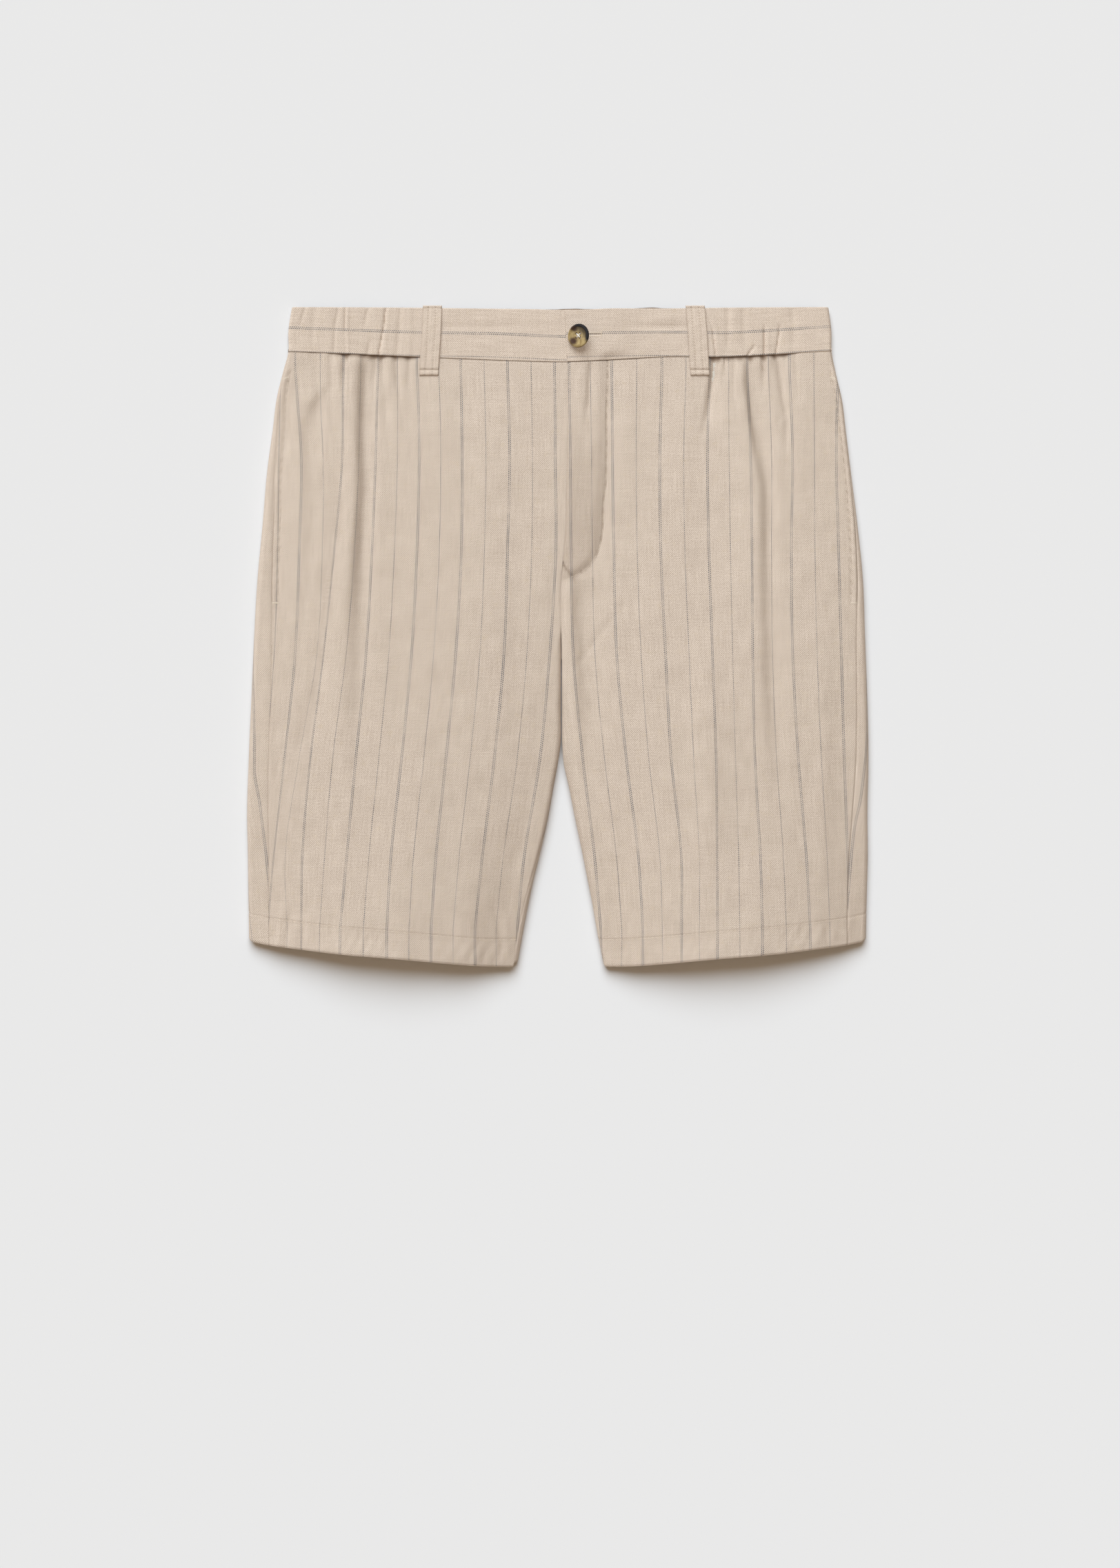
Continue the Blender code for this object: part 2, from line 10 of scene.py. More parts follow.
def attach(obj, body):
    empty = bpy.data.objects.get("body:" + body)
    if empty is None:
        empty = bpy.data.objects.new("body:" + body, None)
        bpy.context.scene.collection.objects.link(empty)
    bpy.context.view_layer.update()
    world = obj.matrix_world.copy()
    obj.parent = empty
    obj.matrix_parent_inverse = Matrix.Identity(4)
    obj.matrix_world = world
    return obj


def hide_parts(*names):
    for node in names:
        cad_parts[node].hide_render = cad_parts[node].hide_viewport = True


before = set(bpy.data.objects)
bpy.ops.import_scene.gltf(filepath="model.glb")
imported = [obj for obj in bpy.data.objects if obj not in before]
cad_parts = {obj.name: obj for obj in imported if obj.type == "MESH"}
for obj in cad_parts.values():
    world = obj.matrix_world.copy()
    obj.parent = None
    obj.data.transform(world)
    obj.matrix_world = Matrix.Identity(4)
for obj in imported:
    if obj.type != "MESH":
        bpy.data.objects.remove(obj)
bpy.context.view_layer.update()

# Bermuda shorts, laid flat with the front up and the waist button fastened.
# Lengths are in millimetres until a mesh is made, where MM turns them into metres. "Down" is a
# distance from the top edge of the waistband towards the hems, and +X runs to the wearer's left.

bpy.ops.object.select_all(action="DESELECT")


# ---------------------------------------------------------------- fronts
# Two fronts of linen and cotton twill, cut with the stripes along the leg. They are gathered into
# the elasticated ends of the waistband, lap at the fly, and are sewn to the backs at the side seams
# and inseams. The left front carries the fly placket, and each side seam opens as a pocket mouth.

MM = 0.001
RIGHT, LEFT = -1, 1         # the wearer's right half lies on the -X side
SIDE_NAMES = {RIGHT: "right", LEFT: "left"}

TOP_Y = 258.9               # Y where down is 0
CLOTH = 0.9                 # thickness of the twill
HEM_CLOTH = 2.0             # and of the turned hem
GAP = 0.3
SEAM_SLIT = 0.04            # between two pieces that are sewn edge to edge
CROTCH_DOWN = 277.0
LEG_PARTING = 0.25
WAIST_LEVEL = 40.0
HEM_LEVEL = 510.0
BACK_HEM_RISE = 3.0
HEM_DEPTH = 21.3            # from the hem's edge to its stitching
TUCK = 1.3                  # the panels run on up into the waistband by this much
FLAT_DROP = 1.3             # and sink to it by this much, or more where the elastic gathers them
GATHERED_DROP = 2.5
BACK_DROP = 1.2
FRONT_CLEARANCE = 2.3       # the least height of the front's outer face over the back's

INNER_RADIUS = 4.3
ROLL_LENGTH = 34.0          # above the crotch, where the rise seam sinks into the fold
BACK_LIFT = 1.5             # the back loops hold the top of the back this high
LIFT_FADE = (52.0, 95.0)

FLY_UNDERLAP = 10.0
UNDERLAP_FADE = (162.0, 186.0)
UNDERLAP_SINK = 0.2
PLACKET_RISE = 1.5
PLACKET_EASE = 8.0
PLACKET_END = 216.0
NOTCH_X, NOTCH_DOWN = 2.8, 200.3      # top of the slanting end of the placket
NOTCH_SLANT = (0.783, 0.618)
FLY_FOOT = (202.0, 212.0)   # where the open fly passes into the rise seam

SEAM_SINK, SEAM_WIDTH = 0.32, 0.8       # depth and half width of a seam's line
EDGE_FALL, EDGE_WIDTH = 0.8, 0.8        # a turned edge falls off by so much, over such a width

TWILL_LIGHT = (0.780, 0.656, 0.543, 1.0)
TWILL_DARK = (0.330, 0.255, 0.194, 1.0)
TWILL_TAN = (0.52, 0.405, 0.255, 1.0)
TWILL_MAUVE = (0.53, 0.425, 0.39, 1.0)
# Painted shade: a dark brown for the bottom of a gather or a seam.
PAINTED_SHADE_BROWN = (0.160, 0.102, 0.064, 1.0)       # in the bottom of a gather or a seam
SLATE = (0.052, 0.068, 0.090, 1.0)
STRIPE_PITCH = 18.3         # a double and a single stripe lie at every other multiple of it
DIAGONAL = 1.58             # from one twill line to the next, along the warp
DOT_PITCH = 1.58            # a slate yarn shows in dots this far apart
DOUBLE_SPREAD = 0.64        # half the distance between the two yarns of a double stripe


class Table:
    """Rows with named columns, read between the rows along a smooth curve."""

    def __init__(self, names, rows):
        values = np.array(rows, dtype=float)
        self.at = values[:, 0]
        self.names = names.split()[1:]
        self.values = dict(zip(self.names, values.T[1:]))
        self.slopes = {name: np.gradient(column, self.at) for name, column in self.values.items()}

    def read(self, name, at):
        at = np.clip(at, self.at[0], self.at[-1])
        row = np.clip(np.searchsorted(self.at, at, side="right") - 1, 0, len(self.at) - 2)
        span = self.at[row + 1] - self.at[row]
        t = (at - self.at[row]) / span
        low, high = self.values[name][row], self.values[name][row + 1]
        low_slope, high_slope = self.slopes[name][row] * span, self.slopes[name][row + 1] * span
        rise = high - low
        return low + t * (low_slope + t * (3 * rise - 2 * low_slope - high_slope
                                           + t * (low_slope + high_slope - 2 * rise)))


def smoothstep(low, high, value):
    t = np.clip((value - low) / (high - low), 0.0, 1.0)
    return t * t * (3 - 2 * t)


def mix(start, end, t):
    return start + (end - start) * t


def bell(distance, half_width):
    return np.exp(-(distance / half_width) ** 2)


# The side folds, and how far inside each fold the side seam lies on the front.
SIDES = Table("down right_fold right_wrap left_fold left_wrap", [
    (0, -208.4, 0.4, 212.4, 0.4),
    (19, -211.2, 0.4, 214.8, 0.4),
    (35, -211.2, 0.4, 215.0, 0.4),
    (52, -215.7, 0.8, 218.4, 0.4),
    (73, -220.6, 2.2, 223.3, 0.5),
    (95, -223.3, 4.0, 226.0, 0.6),
    (127, -227.6, 6.0, 229.8, 0.8),
    (171, -231.4, 8.5, 235.2, 2.0),
    (214, -235.4, 11.3, 239.5, 4.5),
    (257, -237.9, 13.6, 241.1, 6.8),
    (300, -239.8, 15.0, 242.7, 8.2),
    (354, -242.2, 15.4, 243.8, 9.8),
    (397, -243.5, 16.3, 243.0, 11.8),
    (430, -242.9, 16.3, 243.3, 14.6),
    (462, -242.5, 16.0, 242.5, 15.1),
    (520, -241.5, 15.5, 241.5, 14.6),
])

# The centre front, which is the fly edge down to 201 and the rise seam down to the crotch.
CENTRE = Table("down x", [(0, 5.9), (43, 8.1), (98, 7.7), (136, 6.8), (174, 5.8), (201, 3.9),
                          (212, 3.0), (277, 3.0), (345, 3.0)])

INNER_FOLDS = Table("down right left", [
    (277, 3.0, 3.0), (320, 3.0, 3.0), (342, 2.8, 3.2), (359, 0.4, 4.6), (375, -2.6, 8.2),
    (402, -7.4, 13.6), (428, -13.4, 19.1), (449, -18.6, 23.2), (468, -22.6, 27.0),
    (488, -26.4, 30.4), (520, -32.0, 37.0),
])

# How far the inseam lies over the inner fold on the front; below zero it lies underneath.
INSEAMS = Table("down right left", [(277, 0, 0), (330, 0, 0), (400, 1.5, -1.5), (440, 3.5, -2),
                                    (470, 5.6, -2), (490, 6.2, -2), (520, 5.2, -2)])

WAIST_SEAM = Table("x down", [(-215, 34.4), (-107, 38.9), (-40, 41.6), (6.8, 42.7), (50, 40.6),
                              (90, 38.6), (120, 38.9), (218, 33.9)])

# The elastic draws the waist seam into notches: X, depth and half width of each.
NOTCHES = [(-193, 0.3, 4.0), (-165.5, 1.0, 1.6), (-153, 0.5, 3.0), (-146, 0.8, 3.0),
           (-139.5, 0.9, 2.0), (-127, 0.5, 3.0), (-118, 0.4, 3.0), (121, 0.7, 2.0),
           (126, 0.9, 2.4), (134, 0.5, 3.0), (143, 0.6, 3.0), (151, 1.0, 2.2), (162, 0.9, 1.8),
           (170, 0.8, 1.8), (178, 0.4, 4.0)]

# The hem edge, by the distance inwards from the leg's side fold.
HEM = Table("inside down", [(0, 497.5), (14, 500.2), (42, 503.8), (70, 507.0), (110, 510.2),
                            (130, 512.0), (155, 514.4), (178, 516.4), (195, 517.3), (210, 517.4)])

# Radius of the side fold, and heights of the front over a leg's middle and at its inner end.
HEIGHTS = Table("down fold_radius leg inner", [
    (0, 2.45, 6.4, 6.4), (34, 2.45, 6.0, 6.0), (70, 3.0, 8.2, 7.6), (120, 4.0, 11.0, 9.2),
    (200, 4.5, 13.0, 9.8), (277, 4.5, 14.0, 9.0), (350, 4.5, 15.5, 9.0), (430, 4.5, 18.5, 9.0),
    (480, 4.3, 22.5, 8.8), (520, 4.2, 26.0, 8.6),
])

# The J-shaped row of stitching that holds the placket, by level.
PLACKET = Table("down width", [(30, 31.3), (84, 30.4), (118, 30.9), (144, 30.6), (152, 29.6),
                               (179, 29.2), (190, 27.6), (198, 24.6), (205, 19.2), (211, 10.6),
                               (216, 0.0)])

# Where the stripes of each front run: X of the numbered stripes by level, from the fly outwards.
# Even ones are double. Where the cloth is gathered into a fold, they lie closer together.
STRIPES = {
    RIGHT: Table("down 0 2 4 6 8 9 10 11 12 13", [
        (49, -2.4, -39.2, -75.9, -110.4, -140.9, -154.2, -167.7, -186.0, -206.0, -216.5),
        (78, -2.0, -38.4, -75.2, -109.0, -141.6, -154.8, -168.0, -185.6, -203.5, -217.5),
        (111, -1.9, -37.5, -74.8, -108.3, -142.3, -155.3, -168.2, -183.9, -200.9, -218.2),
        (192, -1.4, -39.2, -75.3, -109.9, -145.3, -158.8, -175.0, -183.9, -202.2, -219.2),
        (273, -6.2, -41.9, -79.7, -114.2, -149.9, -165.2, -183.6, -188.2, -205.5, -221.9),
        (354, -13.8, -49.4, -87.2, -121.8, -157.7, -175.8, -193.6, -202.2, -213.6, -228.2),
        (435, -26.7, -59.1, -95.3, -130.4, -165.0, -182.3, -199.8, -213.3, -222.5, -234.0),
        (487, -31.6, -64.5, -98.6, -133.1, -169.6, -185.8, -200.3, -211.4, -227.1, -240.0),
    ]),
    LEFT: Table("down 0 2 4 6 8 10 12", [
        (49, 9.0, 42.4, 81.8, 119.6, 148.6, 181.7, 220.1),
        (111, 10.0, 42.9, 80.2, 117.5, 150.9, 183.9, 218.4),
        (192, 10.6, 44.0, 80.7, 118.5, 152.0, 182.8, 220.1),
        (273, 12.4, 46.2, 84.5, 121.2, 152.6, 183.9, 222.2),
        (354, 19.7, 53.7, 88.8, 123.9, 154.2, 188.2, 224.4),
        (435, 29.4, 63.5, 96.9, 124.5, 158.5, 194.7, 227.1),
        (487, 33.8, 66.7, 96.9, 124.5, 159.6, 197.4, 228.2),
    ]),
}

# Folds, gathers and creases: points of (down, x) to pass through, half width, height, and the
# levels between which each one comes in and fades out. Half widths that differ are given towards
# -X, then as the last value towards +X. FOLDS holds the main ones, and CREASES the smaller ones.
Fold = namedtuple("Fold", "name route half_width height fade_in fade_out other", defaults=(None,))
FOLDS = [
    Fold("right gather ridge", [(40, -157), (60, -158), (100, -159.5), (142, -159), (183, -161.5),
                                (245, -166)], 17.0, 2.5, (30, 44), (170, 240), 5.4),
    Fold("right gather trough", [(40, -149), (60, -150), (100, -150.5), (142, -149), (183, -151.5),
                                 (245, -155)], 5.0, -1.3, (34, 60), (170, 240), 13.0),
    Fold("right spread ridge", [(142, -160), (183, -163), (245, -168), (300, -170), (380, -172)],
         18.0, 2.6, (150, 240), (260, 400), 10.0),
    Fold("right spread trough", [(142, -148), (183, -149.5), (245, -153), (300, -155), (380, -158)],
         7.0, -1.3, (150, 240), (260, 400), 14.0),
    Fold("right inner ridge", [(40, -141), (142, -139), (245, -146)],
         7.0, 0.9, (40, 80), (150, 260)),
    Fold("right soft trough", [(60, -168), (80, -169.3), (183, -175.2), (245, -185.5), (300, -190),
                               (351, -204), (402, -210.5)], 8.0, -1.1, (60, 110), (330, 410)),
    Fold("right side gather", [(34, -191), (60, -188), (120, -186)],
         5.0, -1.0, (30, 40), (60, 120)),
    Fold("right loop gather", [(34, -135), (60, -136), (120, -132)],
         4.5, -1.1, (30, 40), (60, 120)),
    Fold("left gather ridge", [(40, 143.5), (60, 143.5), (92, 148), (109, 150.5), (142, 156),
                               (245, 157)], 17.0, 1.9, (30, 60), (170, 240), 4.6),
    Fold("left gather trough", [(40, 151), (59, 150.5), (92, 155), (109, 158), (142, 164),
                                (245, 165)], 4.0, -1.2, (36, 80), (170, 240), 12.0),
    Fold("left spread ridge", [(142, 155), (245, 156.5), (300, 158), (380, 162)],
         18.0, 2.1, (150, 240), (270, 410), 7.0),
    Fold("left spread trough", [(142, 164.5), (245, 166), (300, 167.5), (380, 171)],
         6.0, -1.2, (150, 240), (270, 410), 13.0),
    Fold("left side ridge", [(60, 172), (142, 173), (245, 175)], 8.0, 0.9, (40, 90), (180, 280)),
    Fold("left loop gather", [(36, 125), (60, 124), (120, 122)], 4.5, -1.2, (30, 40), (60, 120)),
    Fold("left side gather", [(34, 175), (60, 176), (120, 178)], 5.0, -1.0, (30, 40), (60, 120)),
]
CREASES = [
    Fold("right wedge shade", [(46, -168), (60, -174), (78, -188), (94, -196), (130, -199)],
         7.0, -0.8, (44, 56), (110, 150), 14.0),
    Fold("right wedge crest", [(60, -188), (80, -199), (110, -203), (150, -202)],
         16.0, 1.6, (52, 74), (130, 220), 9.0),
    Fold("right pleat", [(38, -167.6), (52, -168), (75, -168.5)], 2.2, -2.08, (32, 38), (50, 84)),
    Fold("right crest pinch", [(38, -163.4), (60, -163.2), (90, -163.4)],
         1.4, -0.8, (32, 38), (50, 96)),
    Fold("right short gather", [(38, -143), (60, -143.8), (80, -144)],
         2.4, -1.28, (34, 40), (44, 84)),
    Fold("right pinch", [(38, -138), (52, -138), (66, -137)], 1.6, -1.44, (34, 40), (42, 66)),
    Fold("right round gather", [(38, -133), (54, -133), (76, -131.5)],
         3.0, 1.12, (34, 40), (44, 76)),
    Fold("right thin gather", [(38, -127), (60, -126), (88, -122)], 2.2, -1.28, (34, 42), (48, 92)),
    Fold("right end gather", [(38, -117), (60, -116.5), (84, -113)],
         2.2, -0.96, (34, 42), (46, 84)),
    Fold("right hip gather", [(36, -178), (60, -177), (100, -178)], 2.8, -0.96, (32, 40), (52, 96)),
    Fold("right hip slant", [(90, -205), (108, -196), (122, -180)],
         5.0, -0.5, (84, 100), (116, 130)),
    Fold("right hip bend", [(62, -209), (96, -203), (120, -200.5), (150, -201)],
         4.0, 0.5, (56, 80), (130, 170)),
    Fold("right long shade", [(150, -190), (245, -199), (330, -212)],
         6.0, -0.5, (140, 190), (280, 340)),
    Fold("right tuck", [(200, -176), (262, -184), (300, -193), (354, -200), (410, -208)],
         12.0, 0.6, (190, 250), (360, 440), 4.0),
    Fold("left loop pleat", [(38, 123.2), (52, 122), (74, 119), (100, 116.5)],
         2.4, -2.08, (34, 40), (52, 104)),
    Fold("left loop rib", [(38, 128), (52, 126.5), (74, 123.5), (100, 121)],
         3.0, 1.12, (34, 40), (52, 104)),
    Fold("left short pinch", [(40, 131), (50, 131.4), (54, 130)], 1.2, -1.44, (36, 42), (47, 53)),
    Fold("left round gather", [(38, 137.5), (60, 138), (90, 140)], 2.6, -0.96, (34, 40), (48, 92)),
    Fold("left gather edge", [(40, 149), (60, 149), (92, 152.6), (109, 155), (130, 158)],
         2.2, -0.9, (32, 38), (90, 130)),
    Fold("left brown pleat", [(36, 160.6), (52, 161.4), (66, 161.2)],
         1.8, -1.92, (32, 38), (50, 72)),
    Fold("left pleat rib", [(36, 164.6), (52, 165), (70, 166)], 2.0, 0.8, (32, 38), (50, 76)),
    Fold("left wedge", [(36, 170.5), (60, 175), (90, 180), (130, 177)],
         2.6, -1.12, (32, 40), (80, 134)),
    Fold("left hip gather", [(36, 187), (60, 187), (90, 188)], 2.6, -0.64, (32, 40), (50, 88)),
    Fold("left hip slant", [(70, 190), (86, 176), (96, 166)], 3.0, -0.4, (66, 78), (90, 100)),
    Fold("left long shade", [(245, 168), (330, 172), (420, 178)],
         8.0, -0.6, (220, 280), (380, 440)),
    Fold("left outer rib", [(260, 205), (340, 208), (430, 206)], 8.0, 0.6, (240, 300), (400, 460)),
    Fold("beside the rise", [(212, 8.5), (250, 8.5), (290, 10), (330, 14), (370, 20)],
         4.0, 2.4, (208, 225), (310, 370), 4.4),
    Fold("rise shade", [(214, 19), (250, 20), (290, 22), (330, 27)],
         5.0, -1.2, (210, 235), (280, 340), 14.0),
    Fold("fly crease", [(46, 24.4), (70, 23.4), (90, 22)], 1.6, -1.0, (40, 52), (76, 96), 5.0),
    Fold("fly swell", [(46, 19), (90, 17)], 5.0, 0.5, (40, 56), (84, 110)),
    Fold("beside the fly", [(60, 55), (120, 53), (160, 60)], 12.0, 0.7, (70, 100), (130, 170)),
    Fold("below the loop", [(50, 122.8), (84, 117), (100, 113.6)],
         2.6, -1.6, (48, 56), (84, 108), 8.0),
    Fold("above the knee", [(250, 118), (330, 116), (420, 122)], 15.0, 1.1, (240, 290), (400, 450)),
    Fold("right inner roll", [(210, -44), (300, -46), (380, -54), (440, -62), (520, -74)],
         46.0, 1.2, (200, 250), (600, 610), 20.0),
    Fold("right inner hollow", [(340, -18), (400, -26), (450, -42), (500, -52)],
         16.0, -0.4, (330, 400), (600, 610)),
    Fold("left outer roll", [(60, 196), (200, 205), (300, 206), (420, 202), (520, 200)],
         40.0, 1.1, (50, 90), (600, 610), 18.0),
    Fold("right of the rise", [(205, -4), (240, -3), (275, -1.5)],
         3.0, -0.5, (200, 230), (270, 290)),
    Fold("right hem ripple", [(466, -208), (490, -211), (512, -214)],
         2.2, -0.8, (464, 482), (530, 540)),
    Fold("right hem rib", [(466, -214), (490, -217.5), (512, -220)],
         2.2, 0.6, (464, 482), (530, 540)),
    Fold("right hem dent", [(470, -203), (494, -205), (512, -207)],
         2.0, 0.4, (468, 484), (530, 540)),
    Fold("right hem fold", [(474, -199), (500, -199.4), (515, -199.6)],
         1.8, -0.6, (470, 486), (530, 540)),
    Fold("right hem inner", [(478, -183), (500, -186), (515, -187)],
         2.4, -0.3, (474, 490), (530, 540)),
    Fold("left hem ripple", [(475, 208), (500, 211), (512, 213)],
         2.4, -0.5, (470, 490), (530, 540)),
    Fold("left hem rib", [(475, 200), (500, 202), (512, 203)], 2.4, 0.35, (470, 490), (530, 540)),
    Fold("left corner pucker", [(466, 28), (480, 34), (496, 42)],
         2.2, -0.6, (462, 474), (492, 504)),
    Fold("left corner rib", [(468, 34), (486, 41), (500, 47)], 2.4, 0.5, (462, 476), (494, 506)),
    Fold("right corner pucker", [(462, -52), (480, -47), (500, -44)],
         2.4, -0.5, (456, 472), (500, 515)),
    Fold("right corner rib", [(462, -45), (480, -40), (500, -38)],
         2.2, 0.4, (456, 472), (500, 515)),
    Fold("left inner leg", [(300, 16), (380, 26), (440, 38), (500, 50)],
         7.0, -0.5, (290, 330), (440, 500)),
    Fold("right inner leg", [(300, -12), (380, -20), (440, -34), (500, -44)],
         7.0, -0.5, (290, 330), (440, 500)),
    Fold("crotch pull left", [(232, 52), (262, 30), (285, 12)], 4.0, -0.5, (225, 250), (280, 300)),
    Fold("crotch pull right", [(232, -44), (262, -22), (285, -5)],
         4.0, -0.5, (225, 250), (280, 300)),
]

# Painted shade where cloth turns away from the light and down into a fold: places and strengths.
FOLD_SHADE = [
    Fold("right gather", [(38, -154.5), (60, -155), (100, -155.5), (142, -154), (183, -156.5),
                          (245, -160)], 6.0, 0.24, (36, 48), (200, 280), 4.2),
    Fold("right soft trough", [(130, -170), (183, -174), (245, -184), (300, -189)],
         5.0, 0.10, (120, 160), (230, 310)),
    Fold("left gather", [(38, 149), (60, 148.5), (92, 153), (109, 156), (142, 162), (245, 163)],
         3.0, 0.16, (36, 48), (150, 240), 4.0),
    Fold("right pleat", [(38, -167.6), (52, -168), (75, -168.5)], 1.4, 0.20, (34, 38), (44, 84)),
    Fold("right pinch", [(38, -138), (52, -138), (66, -137)], 1.2, 0.22, (34, 38), (40, 66)),
    Fold("right short gather", [(38, -143), (60, -143.8)], 1.4, 0.22, (34, 38), (42, 62)),
    Fold("right thin gather", [(38, -127), (60, -126), (88, -122)], 1.4, 0.20, (34, 38), (44, 80)),
    Fold("right end gather", [(38, -117), (60, -116.5)], 1.4, 0.18, (34, 38), (42, 62)),
    Fold("left loop pleat", [(38, 123.2), (52, 122), (74, 119)], 1.5, 0.22, (34, 38), (44, 84)),
    Fold("left round gather", [(38, 137.5), (60, 138)], 1.4, 0.16, (34, 38), (42, 66)),
    Fold("left brown pleat", [(36, 160.6), (52, 161.4)], 1.4, 0.26, (32, 36), (42, 64)),
    Fold("left wedge", [(36, 170.5), (60, 175)], 1.6, 0.18, (32, 36), (42, 64)),
    Fold("beside the rise", [(206, 12), (250, 13.5), (290, 16), (330, 21)],
         4.0, 0.14, (202, 216), (300, 370), 8.0),
    Fold("left leg's inner fold", [(290, 4), (342, 4.5), (402, 15), (468, 28)],
         2.6, 0.12, (280, 310), (440, 490)),
    Fold("right leg's inner fold", [(290, 1), (342, 1), (402, -9), (468, -24)],
         2.6, 0.10, (280, 310), (440, 490)),
]

# Loose cloth is never quite even. It has long shallow waves, given by their lengths across and
# along, where they start, and their heights.
SLACK = [(47, 640, 0.4, 0.16), (31, -520, 1.9, 0.10), (71, 310, 3.1, 0.18), (23, 760, 5.2, 0.05),
         (95, -190, 2.2, 0.24), (15, 330, 0.9, 0.03), (190, 46, 4.0, 0.12), (64, -33, 1.1, 0.06),
         (38, 27, 2.7, 0.05)]


def creases(folds, x, down):
    """Sum of the folds that pass through each place."""
    total = np.zeros_like(x)
    for fold in folds:
        levels, places = zip(*fold.route)
        offset = x - np.interp(down, levels, places)
        across = offset / np.where(offset > 0, fold.other or fold.half_width, fold.half_width)
        strength = smoothstep(*fold.fade_in, down) * (1 - smoothstep(*fold.fade_out, down))
        total += fold.height * strength * np.exp(-1.4 * across * across)
    return total


def slack(x, down):
    """Sum of the long shallow waves at each place."""
    return sum(height * np.sin(2 * math.pi * (x / across + down / along) + turn)
               for across, along, turn, height in SLACK)


class Half:
    """Outer face of one half of the shorts, as a path in X and Z at each level.

    The path starts at the inner fold (or the centre seam above the crotch), and runs over the front
    to the side fold, round it, and back underneath.
    """

    def __init__(self, side, down):
        self.side = side
        self.down = down
        self.lift = BACK_LIFT * (1 - smoothstep(*LIFT_FADE, down))
        self.radius = HEIGHTS.read("fold_radius", down)
        self.fold_x = SIDES.read(SIDE_NAMES[side] + "_fold", down)
        self.side_centre = self.fold_x - side * self.radius
        self.inner_height = HEIGHTS.read("inner", down)
        self.roll = smoothstep(CROTCH_DOWN - ROLL_LENGTH, CROTCH_DOWN, down)
        self.start_angle = (1 - self.roll) * math.pi / 2
        self.inner_x = np.where(down < CROTCH_DOWN, CENTRE.read("x", down),
                                INNER_FOLDS.read(SIDE_NAMES[side], down) + side * LEG_PARTING)
        self.inner_centre = self.inner_x + side * INNER_RADIUS * np.cos(self.start_angle)
        self.inner_arc = INNER_RADIUS * self.roll * math.pi / 2
        self.width = side * (self.side_centre - self.inner_centre)
        self.front_end = self.inner_arc + self.width
        self.back_start = self.front_end + self.radius * math.pi
        self.length = self.back_start + self.width + self.inner_arc

    def front_height(self, x):
        """Z of the front's outer face: an arch over the leg, with its folds and creases."""
        t = np.clip(self.side * (x - self.inner_centre) / self.width, 0.0, 1.0)
        side_height = self.lift + 2 * self.radius
        arch = HEIGHTS.read("leg", self.down) - (self.inner_height + side_height) / 2
        from_edge = np.minimum(t, 1 - t)
        small = creases(CREASES, x, self.down) + slack(x, self.down) * smoothstep(44, 80, self.down)
        return mix(self.inner_height, side_height, t) + arch * np.sin(math.pi * t) \
            + np.minimum(1.0, 6 * from_edge) * creases(FOLDS, x, self.down) \
            + np.minimum(1.0, 20 * from_edge) * small

    def side_seam(self):
        """Distance along the path to the side seam."""
        wrap = SIDES.read(SIDE_NAMES[self.side] + "_wrap", self.down)
        turn = np.arccos(1 - np.minimum(1, wrap / self.radius))
        bent = self.front_end + self.radius * (math.pi / 2 - turn)
        return np.where(wrap >= self.radius, self.front_end - (wrap - self.radius), bent)

    def inseam(self):
        """Distance along the path to the inseam, or to the centre seam above the crotch."""
        below_crotch = INSEAMS.read(SIDE_NAMES[self.side], self.down)
        return np.where(self.down <= CROTCH_DOWN, 0.0, below_crotch)

    def point(self, along):
        """X and Z at a distance along the path."""
        side = self.side
        along = np.where(self.roll >= 1.0, np.mod(along, self.length), along)
        lap = (self.inner_x + side * along,
               self.inner_height + np.maximum(along, -2.0) * UNDERLAP_SINK)
        angle = self.start_angle + along / INNER_RADIUS
        inner = (self.inner_centre - side * INNER_RADIUS * np.cos(angle),
                 self.inner_height - INNER_RADIUS * (1 - np.sin(angle)))
        x = self.inner_centre + side * (along - self.inner_arc)
        front = (x, self.front_height(x))
        angle = math.pi / 2 - (along - self.front_end) / self.radius
        fold = (self.side_centre + side * self.radius * np.cos(angle),
                self.lift + self.radius * (1 + np.sin(angle)))
        under = (self.side_centre - side * (along - self.back_start), self.lift + 0 * along)
        angle = math.pi / 2 - (along - self.back_start - self.width) / INNER_RADIUS
        back = (self.inner_centre - side * INNER_RADIUS * np.cos(angle),
                self.lift + INNER_RADIUS * (1 - np.sin(angle)))
        where = [along < 0, along < self.inner_arc, along < self.front_end, along < self.back_start,
                 along < self.back_start + self.width]
        stretches = [lap, inner, front, fold, under]
        return tuple(np.select(where, [stretch[i] for stretch in stretches], back[i])
                     for i in (0, 1))


def stations(count, dense_at=(), strength=6.0, reach=0.012):
    """Fractions from 0 to 1, closer together round each place in dense_at."""
    fine = np.linspace(0, 1, 4001)
    weight = 1 + strength * sum(bell(fine - place, reach) for place in dense_at)
    total = np.concatenate([[0], np.cumsum((weight[1:] + weight[:-1]) / 2)])
    return np.interp(np.linspace(0, total[-1], count + 1), total, fine)


def gathered(x):
    """1 where the elastic gathers the waist seam in front, and 0 along its flat stretch."""
    return smoothstep(-106, -112, x) * smoothstep(-182, -168, x) \
        + smoothstep(116, 121, x) * smoothstep(190, 178, x)


def notches(x):
    """How deep the waist seam is drawn in at each place."""
    return sum(depth * bell(x - at_x, half_width) for at_x, depth, half_width in NOTCHES)


def placket_past(x, down):
    """How far a place on the left front lies outside the placket's stitching."""
    return x - CENTRE.read("x", down) - PLACKET.read("width", down)


def past_notch(x, down):
    """How far a place lies beyond the placket's slanting end, towards its stitching."""
    return NOTCH_SLANT[0] * (x - NOTCH_X) - NOTCH_SLANT[1] * (down - NOTCH_DOWN)


